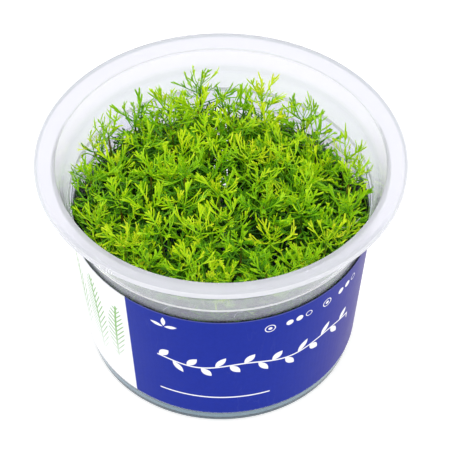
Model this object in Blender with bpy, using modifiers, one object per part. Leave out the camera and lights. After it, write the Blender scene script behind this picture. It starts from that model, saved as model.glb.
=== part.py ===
"""Water milfoil (Myriophyllum mattogrossense) growing in a clear in-vitro cup.

Metres, +Z up. The origin is the centre of the circle that the cup stands on, and the middle
of the label's printed side faces -Y.
"""

import math

import bmesh
import bpy
import numpy as np
from mathutils import Matrix, Vector

MM = 0.001
FIT_GAP = 0.3 * MM
MERGE = 0.01 * MM
TURN_STEPS = 48

# Cup
CUP_HEIGHT = 63.4 * MM
RIM_RADIUS = 47.5 * MM
RIM_FLAT = 1.0 * MM
LIP_HEIGHT = 1.3 * MM
LIP_THICKNESS = 0.7 * MM
LIP_ROUND = 0.3 * MM
FLANGE_DROP = 0.9 * MM
BEAD_RADIUS = 42.2 * MM
BEAD_ROUND = 0.5 * MM
WALL = 1.0 * MM
NECK_ROUND = 0.8 * MM
NECK_FOOT_RADIUS = 39.7 * MM
LEDGE_HEIGHT = 51.8 * MM
LEDGE_FOOT = 48.9 * MM
LEDGE_EASE = 0.5 * MM
BODY_TOP_RADIUS = 39.4 * MM
BODY_FOOT_RADIUS = 36.0 * MM
FOOT_ROUND = 1.0 * MM
FOOT_RING_WIDTH = 1.6 * MM
FOOT_RECESS = 0.7 * MM

# Label
LABEL_BOTTOM = 3.9 * MM
LABEL_TOP = 44.1 * MM
LABEL_THICKNESS = 0.2 * MM
LABEL_SEAM = math.radians(6.0)

# Gel
GEL_BOTTOM = FOOT_RECESS + WALL + FIT_GAP
GEL_TOP = GEL_BOTTOM + 14.0 * MM
GEL_ROUND = 1.5 * MM

# Shoots
SHOOT_COUNT = 48
SHOOT_SEED = 7
GOLDEN_ANGLE = math.pi * (3.0 - math.sqrt(5.0))
STEM_REACH = 34.2 * MM
STEM_SCATTER = 3.0 * MM
STEM_SPACING = 10.4 * MM
SPREAD_ROUNDS = 40
SPREAD_SHARE = 0.2
LEAF_REACH = 38.0 * MM
CELL_MARGIN = 0.35 * MM
STEM_RADIUS = 0.6 * MM
BAND_HEIGHT = 0.8 * MM
LEAVES_ROUND = 4
BUD_HEIGHT = 1.6 * MM
EDGE_TOP = 57.4 * MM
CROWN_TOP = 60.0 * MM
TOP_SCATTER = 1.7 * MM
TAPER_AT_GEL = 0.1
SWAY = 3.2 * MM
SWAY_WAVE = 41.0 * MM
SWAY_START_X = 0.15
SWAY_START_Y = 0.4
LEAF_THICKNESS = 0.45 * MM
BROADEST_AT = 0.5
LENGTH_CHANCE = (0.88, 1.06)
RISE_CHANCE = (0.8, 1.2)

# Whorls from the tip down: depth under the shoot's top, leaf length, leaf rise, and half the
# breadth of its middle, where the feathered leaf is broad enough to need one
WHORLS = (
    (5.2 * MM, 6.8 * MM, math.radians(49), 1.6 * MM),
    (9.2 * MM, 7.8 * MM, math.radians(27), 2.3 * MM),
    (15.5 * MM, 7.6 * MM, math.radians(14), None),
)

COLLECTION = "potted_myriophyllum"


def clear_scene():
    """Removes every object that the file opened with."""
    for obj in list(bpy.data.objects):
        bpy.data.objects.remove(obj, do_unlink=True)


def make_material(name, colour, roughness, alpha=1.0, transmission=0.0):
    """A Principled material with the part's own colour and gloss."""
    material = bpy.data.materials.new(name)
    material.use_nodes = True
    shader = material.node_tree.nodes["Principled BSDF"]
    shader.inputs["Base Color"].default_value = (*colour, 1.0)
    shader.inputs["Roughness"].default_value = roughness
    shader.inputs["Metallic"].default_value = 0.0
    shader.inputs["Alpha"].default_value = alpha
    shader.inputs["Transmission Weight"].default_value = transmission
    material.diffuse_color = (*colour, alpha)
    return material


def place(name, mesh, material, collection):
    """Puts a mesh into the part's collection as one named object."""
    mesh.materials.append(material)
    obj = bpy.data.objects.new(name, mesh)
    collection.objects.link(obj)
    return obj


def arc(centre, radius, start, end, steps):
    """Points on an arc in the R-Z plane, angles in degrees from +R towards +Z."""
    turns = np.radians(np.linspace(start, end, steps + 1))
    return [(centre[0] + radius * math.cos(a), centre[1] + radius * math.sin(a)) for a in turns]


def outline_mesh(name, points):
    """An edge chain in the R-Z plane, ready to be turned about Z."""
    mesh = bpy.data.meshes.new(name)
    edges = [(i, i + 1) for i in range(len(points) - 1)]
    mesh.from_pydata([(r, 0.0, z) for r, z in points], edges, [])
    return mesh


def turn(obj, angle=2.0 * math.pi):
    """Turns an outline about Z with a Screw modifier."""
    screw = obj.modifiers.new("turn", "SCREW")
    screw.axis = "Z"
    screw.angle = angle
    screw.steps = TURN_STEPS
    screw.render_steps = TURN_STEPS
    screw.use_merge_vertices = angle >= 2.0 * math.pi
    screw.merge_threshold = MERGE
    screw.use_smooth_shade = True


def body_radius(height):
    """The body's outer radius at a height, on its straight taper."""
    share = (height - FOOT_ROUND) / (LEDGE_FOOT - FOOT_ROUND)
    return BODY_FOOT_RADIUS + (BODY_TOP_RADIUS - BODY_FOOT_RADIUS) * share


def cup_inside():
    """Inner outline from the middle of the floor up to the rim's flat."""
    floor = FOOT_RECESS + WALL
    corner = body_radius(floor) - WALL
    body_top = BODY_TOP_RADIUS - WALL
    shoulder = CUP_HEIGHT - FLANGE_DROP
    points = [(0.0, floor), (corner - FOOT_ROUND, floor), (corner, floor + FOOT_ROUND)]
    points.append((body_top, LEDGE_HEIGHT - 2.0 * WALL))
    points.append((body_top + LEDGE_EASE, LEDGE_HEIGHT - LEDGE_EASE / 2.0))
    points.append((NECK_FOOT_RADIUS, LEDGE_HEIGHT + LEDGE_EASE))
    points += arc((BEAD_RADIUS + BEAD_ROUND, shoulder - BEAD_ROUND), BEAD_ROUND, 180, 90, 2)
    points.append((RIM_RADIUS - LIP_ROUND - RIM_FLAT, CUP_HEIGHT))
    return points


def cup_outside():
    """Outer outline from the rim's flat down to the middle of the foot."""
    under_lip = CUP_HEIGHT - LIP_HEIGHT
    under_flange = CUP_HEIGHT - FLANGE_DROP - WALL
    neck_top = BEAD_RADIUS + WALL
    neck_foot = NECK_FOOT_RADIUS + WALL
    foot = BODY_FOOT_RADIUS - FOOT_ROUND
    points = [(RIM_RADIUS - LIP_ROUND, CUP_HEIGHT), (RIM_RADIUS, CUP_HEIGHT - LIP_ROUND)]
    points += [(RIM_RADIUS, under_lip), (RIM_RADIUS - LIP_THICKNESS, under_lip)]
    points += [(neck_top + NECK_ROUND, under_flange), (neck_top, under_flange - NECK_ROUND)]
    points += [(neck_foot, LEDGE_HEIGHT - LEDGE_EASE), (neck_foot - LEDGE_EASE, LEDGE_FOOT + LEDGE_EASE)]
    points.append((BODY_TOP_RADIUS, LEDGE_FOOT))
    points += arc((foot, FOOT_ROUND), FOOT_ROUND, 0, -90, 2)
    recess = foot - FOOT_RING_WIDTH
    points += [(recess, 0.0), (recess - FOOT_RECESS, FOOT_RECESS), (0.0, FOOT_RECESS)]
    return points


def build_cup(collection):
    """The cup as one turned shell: floor, body, ledge, neck, flange and lip."""
    mesh = outline_mesh("cup", cup_inside() + cup_outside())
    material = make_material("milky_clear_plastic", (0.86, 0.87, 0.93), 0.22, 0.55, 0.8)
    turn(place("cup", mesh, material, collection))


def build_label(collection):
    """A thin strip round the taper, open by a narrow seam at the back."""
    clearance = FIT_GAP + LABEL_THICKNESS
    points = [(body_radius(z) + clearance, z) for z in (LABEL_TOP, LABEL_BOTTOM)]
    mesh = outline_mesh("label", points)
    mesh.transform(Matrix.Rotation(math.pi / 2.0 + LABEL_SEAM / 2.0, 4, "Z"))
    label = place("label", mesh, make_material("printed_film", (0.03, 0.06, 0.38), 0.35), collection)
    turn(label, 2.0 * math.pi - LABEL_SEAM)
    thicken = label.modifiers.new("thicken", "SOLIDIFY")
    thicken.thickness = LABEL_THICKNESS
    thicken.offset = -1.0


def build_gel(collection):
    """The growing gel: a block that fills the cup's foot, clear of its wall."""
    clearance = WALL + FIT_GAP
    side = body_radius(GEL_BOTTOM + GEL_ROUND) - clearance
    points = [(0.0, GEL_TOP), (body_radius(GEL_TOP) - clearance, GEL_TOP)]
    points += [(side, GEL_BOTTOM + GEL_ROUND), (side - GEL_ROUND, GEL_BOTTOM), (0.0, GEL_BOTTOM)]
    mesh = outline_mesh("gel", points)
    turn(place("gel", mesh, make_material("clear_gel", (0.72, 0.80, 0.78), 0.1, 0.6, 0.9), collection))


def planting_spots(rng):
    """Stem places at canopy height: a sunflower spiral, moved by chance and then spread out.

    In each round, places closer than the spacing push each other apart by a share of what
    is missing, and none goes further from the middle than the stems' reach.
    """
    index = np.arange(SHOOT_COUNT)
    radius = STEM_REACH * np.sqrt((index + 0.5) / SHOOT_COUNT)
    angle = index * GOLDEN_ANGLE
    spots = np.stack([radius * np.cos(angle), radius * np.sin(angle)], axis=1)
    spots += rng.uniform(-STEM_SCATTER, STEM_SCATTER, spots.shape)
    for _ in range(SPREAD_ROUNDS):
        between = spots[:, None] - spots[None]
        apart = np.linalg.norm(between, axis=2)
        np.fill_diagonal(apart, STEM_SPACING)
        push = np.maximum(STEM_SPACING - apart, 0.0) / apart
        spots = spots + SPREAD_SHARE * np.sum(push[..., None] * between, axis=1)
        spots *= np.minimum(1.0, STEM_REACH / np.linalg.norm(spots, axis=1))[:, None]
    return spots


def shoot_tops(spots, rng):
    """How high each shoot reaches: a low mound, higher in the middle, with chance on top."""
    share = np.sum(spots**2, axis=1) / STEM_REACH**2
    mound = CROWN_TOP + (EDGE_TOP - CROWN_TOP) * share
    return mound + rng.uniform(-TOP_SCATTER, TOP_SCATTER, len(spots))


def hold_inside(spots, own, point):
    """Draws a leaf's point towards its stem until it lies in that stem's share of the cup.

    The share is the ground nearer to this stem than to any other, inside the wall. It is
    convex, so a leaf whose points are all in it lies in it whole.
    """
    offset = np.array([point.x, point.y]) - spots[own]
    reach = np.linalg.norm(offset)
    direction = offset / reach
    others = np.delete(spots, own, axis=0) - spots[own]
    apart = np.linalg.norm(others, axis=1)
    speed = (others / apart[:, None]) @ direction
    ahead = speed > 0.0
    to_neighbour = float(np.min(apart[ahead] / 2.0 / speed[ahead], initial=LEAF_REACH))
    along = float(spots[own] @ direction)
    to_wall = -along + math.sqrt(along**2 - float(spots[own] @ spots[own]) + LEAF_REACH**2)
    held = min(reach, min(to_neighbour, to_wall) - CELL_MARGIN)
    return Vector((*(spots[own] + direction * held), point.z))


def settle(point):
    """Leans the straight stand of shoots: narrower at the gel, and swaying in broad waves.

    The sway grows with the square of the height, fades at the wall, and turns smoothly from
    place to place, so shoots that start apart stay apart.
    """
    rise = (point.z - GEL_TOP) / (CROWN_TOP - GEL_TOP)
    taper = 1.0 - TAPER_AT_GEL * (1.0 - min(rise, 1.0))
    fade = max(0.0, 1.0 - (point.x**2 + point.y**2) / LEAF_REACH**2)
    sway = SWAY * rise**2 * fade
    turn_x = 2.0 * math.pi * (point.y / SWAY_WAVE + SWAY_START_X)
    turn_y = 2.0 * math.pi * (point.x / SWAY_WAVE + SWAY_START_Y)
    return Vector((
        point.x * taper + sway * math.sin(turn_x),
        point.y * taper + sway * math.sin(turn_y),
        point.z,
    ))


def side_faces(top):
    """The faces that an extrusion left under the face that it moved."""
    return [next(f for f in edge.link_faces if f is not top) for edge in top.edges]


def raise_top(bm, top, height, turned=0.0, centre=None):
    """Extrudes the stem's top face upwards and turns it."""
    top = bmesh.ops.extrude_discrete_faces(bm, faces=[top])["faces"][0]
    bmesh.ops.translate(bm, verts=top.verts, vec=(0.0, 0.0, height))
    if turned:
        bmesh.ops.rotate(bm, verts=top.verts, cent=centre, matrix=Matrix.Rotation(turned, 3, "Z"))
    return top


def grow_leaf(bm, face, spots, own, length, rise, half_breadth):
    """Draws a leaf out of one side of the stem: a flat broad part, then the tip."""
    foot = face.calc_center_median()
    outward = Vector((foot.x - spots[own][0], foot.y - spots[own][1], 0.0)).normalized()
    along = outward * math.cos(rise) + Vector((0.0, 0.0, math.sin(rise)))
    across = Vector((-outward.y, outward.x, 0.0))
    upward = along.cross(across)
    if half_breadth:
        face = bmesh.ops.extrude_discrete_faces(bm, faces=[face])["faces"][0]
        middle = foot + along * (length * BROADEST_AT)
        for vert in face.verts:
            offset = vert.co - foot
            aside = math.copysign(half_breadth, offset.dot(across))
            edge = hold_inside(spots, own, middle + across * aside)
            vert.co = edge + upward * math.copysign(LEAF_THICKNESS / 2.0, offset.z)
    tip = bmesh.ops.extrude_discrete_faces(bm, faces=[face])["faces"][0]
    tip_place = hold_inside(spots, own, foot + along * length)
    bmesh.ops.pointmerge(bm, verts=list(tip.verts), merge_co=tip_place)


def grow_shoot(spots, own, top_height, rng):
    """One plantlet: a square stem drawn upwards, with whorls of leaves drawn out of its sides."""
    bm = bmesh.new()
    centre = Vector((*spots[own], GEL_TOP + FIT_GAP))
    heights = [top_height - depth for depth, _, _, _ in reversed(WHORLS)]
    first = heights[0] - centre.z
    bmesh.ops.create_cone(
        bm, cap_ends=True, segments=LEAVES_ROUND, radius1=STEM_RADIUS, radius2=STEM_RADIUS, depth=first
    )
    bmesh.ops.translate(bm, verts=bm.verts, vec=centre + Vector((0.0, 0.0, first / 2.0)))
    bmesh.ops.rotate(
        bm, verts=bm.verts, cent=centre, matrix=Matrix.Rotation(rng.uniform(0.0, math.pi), 3, "Z")
    )
    top = max(bm.faces, key=lambda f: f.calc_center_median().z)
    bands = []
    for step, (_, length, rise, half_breadth) in enumerate(reversed(WHORLS)):
        top = raise_top(bm, top, BAND_HEIGHT)
        bands.append((side_faces(top), length, rise, half_breadth))
        above = heights[step + 1] if step + 1 < len(heights) else None
        if above is not None:
            top = raise_top(bm, top, above - heights[step] - BAND_HEIGHT, math.pi / LEAVES_ROUND, centre)
    bud = bmesh.ops.extrude_discrete_faces(bm, faces=[top])["faces"][0]
    bud_tip = Vector((*spots[own], heights[-1] + BAND_HEIGHT + BUD_HEIGHT))
    bmesh.ops.pointmerge(bm, verts=list(bud.verts), merge_co=bud_tip)
    for sides, length, rise, half_breadth in bands:
        for side in sides:
            grown = length * rng.uniform(*LENGTH_CHANCE)
            lifted = rise * rng.uniform(*RISE_CHANCE)
            grow_leaf(bm, side, spots, own, grown, lifted, half_breadth)
    for vert in bm.verts:
        vert.co = settle(vert.co)
    bmesh.ops.recalc_face_normals(bm, faces=bm.faces)
    return bm


def build_shoots(collection):
    """Every plantlet in the cup, one object each."""
    rng = np.random.default_rng(SHOOT_SEED)
    spots = planting_spots(rng)
    tops = shoot_tops(spots, rng)
    greens = [
        make_material("leaf_lime", (0.36, 0.62, 0.03), 0.45),
        make_material("leaf_green", (0.20, 0.46, 0.03), 0.45),
        make_material("leaf_deep", (0.12, 0.33, 0.03), 0.5),
    ]
    for own in range(SHOOT_COUNT):
        bm = grow_shoot(spots, own, tops[own], rng)
        name = f"shoot_{own + 1:02d}"
        mesh = bpy.data.meshes.new(name)
        bm.to_mesh(mesh)
        bm.free()
        place(name, mesh, greens[own % len(greens)], collection)


def main():
    """Builds the potted plant."""
    clear_scene()
    collection = bpy.data.collections.new(COLLECTION)
    bpy.context.scene.collection.children.link(collection)
    build_cup(collection)
    build_label(collection)
    build_gel(collection)
    build_shoots(collection)


main()
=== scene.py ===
"""Dresses the potted Myriophyllum mattogrossense: milky tub, printed wrap, growing gel and shoots."""

import logging
import math
from dataclasses import dataclass, field
from enum import Enum, IntEnum

import bpy
import numpy as np
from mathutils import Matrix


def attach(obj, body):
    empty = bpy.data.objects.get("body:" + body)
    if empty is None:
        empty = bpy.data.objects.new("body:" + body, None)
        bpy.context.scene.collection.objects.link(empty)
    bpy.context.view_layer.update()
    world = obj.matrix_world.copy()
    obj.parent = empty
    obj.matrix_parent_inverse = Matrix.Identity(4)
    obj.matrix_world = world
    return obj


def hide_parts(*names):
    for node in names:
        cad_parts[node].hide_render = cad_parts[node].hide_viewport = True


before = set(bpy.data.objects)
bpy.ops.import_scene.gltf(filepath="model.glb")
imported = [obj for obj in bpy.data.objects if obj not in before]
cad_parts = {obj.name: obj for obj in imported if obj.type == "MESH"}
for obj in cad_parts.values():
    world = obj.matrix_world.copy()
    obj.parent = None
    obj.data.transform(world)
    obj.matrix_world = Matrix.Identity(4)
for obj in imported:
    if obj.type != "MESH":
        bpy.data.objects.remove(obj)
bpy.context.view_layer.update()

MM = 0.001
BODY = "root"
UP = np.array([0.0, 0.0, 1.0])
FRONT = math.radians(-90.0)
ROUND_STEPS = 160
FILLET_STEPS = 5
LONG_RUN = 20.0 * MM
MERGE = 1e-6
PRINT_EDGE = 0.14 * MM
ROOT_TONE = 4.0
WHITE = (1.0, 1.0, 1.0, 1.0)

log = logging.getLogger("potted_plant")


class Slot(Enum):
    """The record's material slots."""

    PLASTIC = "milky_plastic"
    FILM = "printed_film"
    GEL = "gel"
    LIME = "leaf_lime"
    GREEN = "leaf_green"
    DEEP = "leaf_deep"


# ---------------------------------------------------------------- surfaces


@dataclass
class Surface:
    """A closed surface worked out as whole arrays: its points, faces and what each point carries."""

    points: np.ndarray
    quads: np.ndarray
    tris: np.ndarray
    tone: np.ndarray
    blush: np.ndarray

    @staticmethod
    def joined(parts: list["Surface"]) -> "Surface":
        """Puts surfaces after each other in one.

        Args:
            parts: the surfaces to join.

        Returns:
            One surface with all their points and faces.
        """
        starts = np.cumsum([0] + [len(part.points) for part in parts[:-1]])
        return Surface(
            np.concatenate([part.points for part in parts]),
            np.concatenate([part.quads + start for part, start in zip(parts, starts)]),
            np.concatenate([part.tris + start for part, start in zip(parts, starts)]),
            np.concatenate([part.tone for part in parts]),
            np.concatenate([part.blush for part in parts]),
        )

    def to_mesh(self, name: str, smooth: bool) -> bpy.types.Mesh:
        """Writes the surface into a new mesh.

        Args:
            name: the mesh's name.
            smooth: whether its faces are shaded smooth.

        Returns:
            The mesh, with "tone" and "blush" attributes on its points.
        """
        mesh = bpy.data.meshes.new(name)
        mesh.vertices.add(len(self.points))
        mesh.vertices.foreach_set("co", self.points.astype(np.float32).ravel())
        corners = np.concatenate([self.quads.ravel(), self.tris.ravel()]).astype(np.int32)
        starts = np.concatenate([
            np.arange(len(self.quads)) * 4,
            len(self.quads) * 4 + np.arange(len(self.tris)) * 3,
        ]).astype(np.int32)
        mesh.loops.add(len(corners))
        mesh.loops.foreach_set("vertex_index", corners)
        mesh.polygons.add(len(starts))
        mesh.polygons.foreach_set("loop_start", starts)
        mesh.polygons.foreach_set("use_smooth", np.full(len(starts), smooth))
        for label, values in (("tone", self.tone), ("blush", self.blush)):
            layer = mesh.attributes.new(label, "FLOAT", "POINT")
            layer.data.foreach_set("value", values.astype(np.float32))
        mesh.update(calc_edges=True)
        mesh.validate()
        return mesh


def unit(vectors: np.ndarray) -> np.ndarray:
    """Vectors brought to length one along their last axis."""
    return vectors / np.maximum(np.linalg.norm(vectors, axis=-1, keepdims=True), 1e-12)


def lofts(
    centres: np.ndarray,
    first: np.ndarray,
    second: np.ndarray,
    half_first: np.ndarray,
    half_second: np.ndarray,
    sides: int,
    tone: np.ndarray,
    blush: np.ndarray,
) -> Surface:
    """Many pointed rods at once, each a cross-section carried along a path to a tip.

    A corner at turn t of ring i is centre + cos(t) * half_first * first + sin(t) * half_second
    * second. The last centre is the tip. The first ring is closed by a fan.

    Args:
        centres: paths, of shape (rods, rings + 1, 3).
        first: unit vectors square to the paths, of shape (rods, rings, 3).
        second: unit vectors square to both, a right hand turn from the first.
        half_first: half sizes along the first vectors, of shape (rods, rings).
        half_second: half sizes along the second vectors, of shape (rods, rings).
        sides: corners round each ring.
        tone: what each centre's leaf tone is, of shape (rods, rings + 1).
        blush: how red-brown each centre is, of shape (rods, rings + 1).

    Returns:
        All the rods as one surface.
    """
    rods, rings = half_first.shape
    turn = np.arange(sides) * 2.0 * math.pi / sides
    ring = (
        centres[:, :-1, None, :]
        + np.cos(turn)[:, None] * (half_first[..., None] * first)[:, :, None, :]
        + np.sin(turn)[:, None] * (half_second[..., None] * second)[:, :, None, :]
    )
    points = np.concatenate([ring.reshape(rods, rings * sides, 3), centres[:, -1:]], axis=1)
    row, corner = np.meshgrid(np.arange(rings - 1), np.arange(sides), indexing="ij")
    after = (corner + 1) % sides
    quads = np.stack(
        [row * sides + corner, row * sides + after, (row + 1) * sides + after, (row + 1) * sides + corner],
        axis=-1,
    ).reshape(-1, 4)
    last = (rings - 1) * sides
    around = np.arange(sides)
    tip = np.stack([last + around, last + (around + 1) % sides, np.full(sides, rings * sides)], axis=1)
    fan = np.arange(1, sides - 1)
    start = np.stack([np.zeros_like(fan), fan + 1, fan], axis=1)
    tris = np.concatenate([tip, start])
    offset = (np.arange(rods) * (rings * sides + 1))[:, None, None]

    def carried(values: np.ndarray) -> np.ndarray:
        """A value of each centre, given to its ring's corners and to the tip."""
        spread = np.repeat(values[:, :-1], sides, axis=1)
        return np.concatenate([spread, values[:, -1:]], axis=1).ravel()

    return Surface(
        points.reshape(-1, 3),
        (quads[None] + offset).reshape(-1, 4),
        (tris[None] + offset).reshape(-1, 3),
        carried(tone),
        carried(blush),
    )


def rounded_outline(corners: np.ndarray) -> np.ndarray:
    """An outline whose corners are replaced by arcs.

    An arc of radius r starts r * tan(half the turn) before its corner and ends as far after it.
    Its points are centre + r * (cos, sin) of evenly spaced turns between the two ends.

    Args:
        corners: rows of radius, height and rounding, in metres, of which the first and last stay
            sharp.

    Returns:
        Rows of radius and height.
    """
    places, rounding = corners[:, :2], corners[1:-1, 2]
    before = unit(places[1:-1] - places[:-2])
    after = unit(places[2:] - places[1:-1])
    cross = before[:, 0] * after[:, 1] - before[:, 1] * after[:, 0]
    turn = np.arctan2(cross, np.sum(before * after, axis=1))
    back = np.abs(rounding * np.tan(turn / 2.0))
    start = places[1:-1] - before * back[:, None]
    side = np.sign(turn)[:, None] * np.stack([-before[:, 1], before[:, 0]], axis=1)
    centre = start + side * rounding[:, None]
    first = np.arctan2(-side[:, 1], -side[:, 0])
    angles = first[:, None] + turn[:, None] * np.linspace(0.0, 1.0, FILLET_STEPS)
    arcs = centre[:, None] + rounding[:, None, None] * np.stack([np.cos(angles), np.sin(angles)], axis=-1)
    return np.concatenate([places[:1], arcs.reshape(-1, 2), places[-1:]])


def divided(outline: np.ndarray, heights: np.ndarray) -> np.ndarray:
    """An outline with further rows where its long straight runs pass given heights.

    A run from one row to the next passes a height at the share (height - start) / (end - start).

    Args:
        outline: rows of radius and height.
        heights: the heights at which runs longer than LONG_RUN are divided.

    Returns:
        The outline's rows with the new ones in their places.
    """
    start, end = outline[:-1], outline[1:]
    climb = end[:, 1] - start[:, 1]
    run, level = np.nonzero((np.abs(climb) > LONG_RUN)[:, None] & (heights > 0.0))
    share = (heights[level] - start[run, 1]) / climb[run]
    kept = (share > 0.0) & (share < 1.0)
    run, share = run[kept], share[kept]
    added = start[run] + (end[run] - start[run]) * share[:, None]
    place = np.argsort(np.concatenate([np.arange(len(outline)), run + share]))
    return np.concatenate([outline, added])[place]


def turned(outline: np.ndarray, steps: int = ROUND_STEPS) -> Surface:
    """An outline turned round the upright axis, closed by a single point at both ends.

    A point of the outline at radius r and height z goes to (r cos a, r sin a, z) for evenly
    spaced angles a. The outline runs up its outer side, so the faces point outwards.

    Args:
        outline: rows of radius and height, starting and ending on the axis.
        steps: how many angles there are round the turn.

    Returns:
        The turned surface.
    """
    inner = outline[1:-1]
    angle = np.arange(steps) * 2.0 * math.pi / steps
    grid = np.stack(
        [
            inner[:, :1] * np.cos(angle),
            inner[:, :1] * np.sin(angle),
            np.broadcast_to(inner[:, 1:], (len(inner), steps)),
        ],
        axis=-1,
    )
    poles = np.array([[0.0, 0.0, outline[0, 1]], [0.0, 0.0, outline[-1, 1]]])
    points = np.concatenate([grid.reshape(-1, 3), poles])
    row, step = np.meshgrid(np.arange(len(inner) - 1), np.arange(steps), indexing="ij")
    after = (step + 1) % steps
    quads = np.stack(
        [row * steps + step, row * steps + after, (row + 1) * steps + after, (row + 1) * steps + step],
        axis=-1,
    ).reshape(-1, 4)
    around = np.arange(steps)
    nxt = (around + 1) % steps
    top = (len(inner) - 1) * steps
    low = np.stack([nxt, around, np.full(steps, len(grid) * steps)], axis=1)
    high = np.stack([top + around, top + nxt, np.full(steps, len(grid) * steps + 1)], axis=1)
    plain = np.zeros(len(points))
    return Surface(points, quads, np.concatenate([low, high]), plain, plain)


# ---------------------------------------------------------------- shader nodes


class Tree:
    """A shader node tree, with short calls for the nodes that the finishes use."""

    def __init__(self, tree: bpy.types.NodeTree) -> None:
        """Takes the tree to work on."""
        self.tree = tree

    def node(self, kind: str, **fields: object) -> bpy.types.Node:
        """Adds a node and sets its fields.

        Args:
            kind: the node's type.
            fields: the node's own settings by name.

        Returns:
            The node.
        """
        made = self.tree.nodes.new(kind)
        for name, value in fields.items():
            setattr(made, name, value)
        return made

    def put(self, socket: bpy.types.NodeSocket, value: object) -> None:
        """Links a socket to another node's output, or sets a plain value on it.

        Args:
            socket: the input.
            value: an output, or the plain value.
        """
        if isinstance(value, bpy.types.NodeSocket):
            self.tree.links.new(value, socket)
        else:
            socket.default_value = value

    def place(self) -> bpy.types.NodeSocket:
        """The place on the piece, in Object coordinates."""
        return self.node("ShaderNodeTexCoord").outputs["Object"]

    def math(self, operation: str, *values: object) -> bpy.types.NodeSocket:
        """One sum on numbers or outputs.

        Args:
            operation: the Math node's operation.
            values: what it works on, in order.

        Returns:
            The result.
        """
        made = self.node("ShaderNodeMath", operation=operation)
        for socket, value in zip(made.inputs, values):
            self.put(socket, value)
        return made.outputs[0]

    def most(self, values: list[bpy.types.NodeSocket]) -> bpy.types.NodeSocket:
        """The greatest of several outputs at each point.

        Args:
            values: the outputs.

        Returns:
            The greatest.
        """
        found = values[0]
        for value in values[1:]:
            found = self.math("MAXIMUM", found, value)
        return found

    def soft_step(self, value: object, low: float, high: float) -> bpy.types.NodeSocket:
        """Rises smoothly from 0 where the value is at low to 1 where it is at high.

        Args:
            value: what is tested.
            low: where the rise starts, which may be the greater of the two.
            high: where it ends.

        Returns:
            The share from 0 to 1.
        """
        made = self.node("ShaderNodeMapRange", interpolation_type="SMOOTHSTEP")
        for socket, given in zip(made.inputs, (value, low, high, 0.0, 1.0)):
            self.put(socket, given)
        return made.outputs[0]

    def mix(self, share: object, under: object, over: object, blend: str = "MIX") -> bpy.types.NodeSocket:
        """Mixes two colours.

        Args:
            share: how much of the second colour there is.
            under: the first colour.
            over: the second colour.
            blend: the Mix node's way of mixing.

        Returns:
            The colour.
        """
        made = self.node("ShaderNodeMix", data_type="RGBA", blend_type=blend)
        for number, value in ((0, share), (6, under), (7, over)):
            self.put(made.inputs[number], value)
        return made.outputs[2]

    def noise(self, where: object, scale: object, detail: float = 2.0) -> bpy.types.NodeSocket:
        """Soft noise from 0 to 1.

        Args:
            where: the place.
            scale: how many patches there are to a metre.
            detail: how many finer layers there are.

        Returns:
            The noise.
        """
        made = self.node("ShaderNodeTexNoise")
        for name, value in (("Vector", where), ("Scale", scale), ("Detail", detail)):
            self.put(made.inputs[name], value)
        return made.outputs["Fac"]

    def use(self, group: bpy.types.NodeTree, **inputs: object) -> bpy.types.NodeSocket:
        """Places a node group with its own values.

        Args:
            group: the node group.
            inputs: its inputs by name, with a low line for each space.

        Returns:
            The group's first output.
        """
        made = self.node("ShaderNodeGroup", node_tree=group)
        for name, value in inputs.items():
            self.put(made.inputs[name.replace("_", " ")], value)
        return made.outputs[0]


def new_group(name: str, inputs: dict[str, tuple[str, object]], output: str) -> tuple[Tree, dict, object]:
    """Starts a shader node group with named inputs and one output.

    Args:
        name: the group's name.
        inputs: each input's name with its kind, Float or Vector, and its usual value.
        output: the output's name, which holds a number.

    Returns:
        The tree, its inputs by name, and the socket that takes the output.
    """
    group = bpy.data.node_groups.new(name, "ShaderNodeTree")
    for label, (kind, usual) in inputs.items():
        socket = group.interface.new_socket(label, in_out="INPUT", socket_type=f"NodeSocket{kind}")
        socket.default_value = usual
    group.interface.new_socket(output, in_out="OUTPUT", socket_type="NodeSocketFloat")
    tree = Tree(group)
    given = tree.node("NodeGroupInput")
    taken = tree.node("NodeGroupOutput")
    return tree, {label: given.outputs[label] for label in inputs}, taken.inputs[0]


def mottle_group() -> bpy.types.NodeTree:
    """A value that wanders between two limits over the surface, in two sizes of patch.

    Returns:
        The group: low + (high - low) * (0.65 * broad noise + 0.35 * fine noise).
    """
    tree, given, out = new_group(
        "soft_mottle",
        {
            "Place": ("Vector", (0.0, 0.0, 0.0)),
            "Scale": ("Float", 200.0),
            "Low": ("Float", 0.0),
            "High": ("Float", 1.0),
        },
        "Value",
    )
    broad = tree.noise(given["Place"], given["Scale"], 2.0)
    fine = tree.noise(given["Place"], tree.math("MULTIPLY", given["Scale"], 6.0), 2.0)
    both = tree.math("ADD", tree.math("MULTIPLY", broad, 0.65), tree.math("MULTIPLY", fine, 0.35))
    span = tree.math("SUBTRACT", given["High"], given["Low"])
    tree.put(out, tree.math("MULTIPLY_ADD", both, span, given["Low"]))
    return tree.tree


def scuff_group() -> bpy.types.NodeTree:
    """Faint handling scuffs: thin streaks where a stretched noise passes its middle.

    Returns:
        The group: 1 on a streak, falling smoothly to 0 beside it, thinned out by broad patches.
    """
    tree, given, out = new_group(
        "handling_scuffs", {"Place": ("Vector", (0.0, 0.0, 0.0)), "Scale": ("Float", 120.0)}, "Mask"
    )
    stretch = tree.node("ShaderNodeVectorMath", operation="MULTIPLY")
    tree.put(stretch.inputs[0], given["Place"])
    stretch.inputs[1].default_value = (1.0, 1.0, 0.18)
    line = tree.noise(stretch.outputs[0], given["Scale"], 3.0)
    near = tree.math("ABSOLUTE", tree.math("SUBTRACT", line, 0.5))
    streak = tree.math("SUBTRACT", 1.0, tree.soft_step(near, 0.0, 0.02))
    patch = tree.soft_step(tree.noise(given["Place"], tree.math("MULTIPLY", given["Scale"], 0.3)), 0.48, 0.66)
    tree.put(out, tree.math("MULTIPLY", streak, patch))
    return tree.tree


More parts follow.
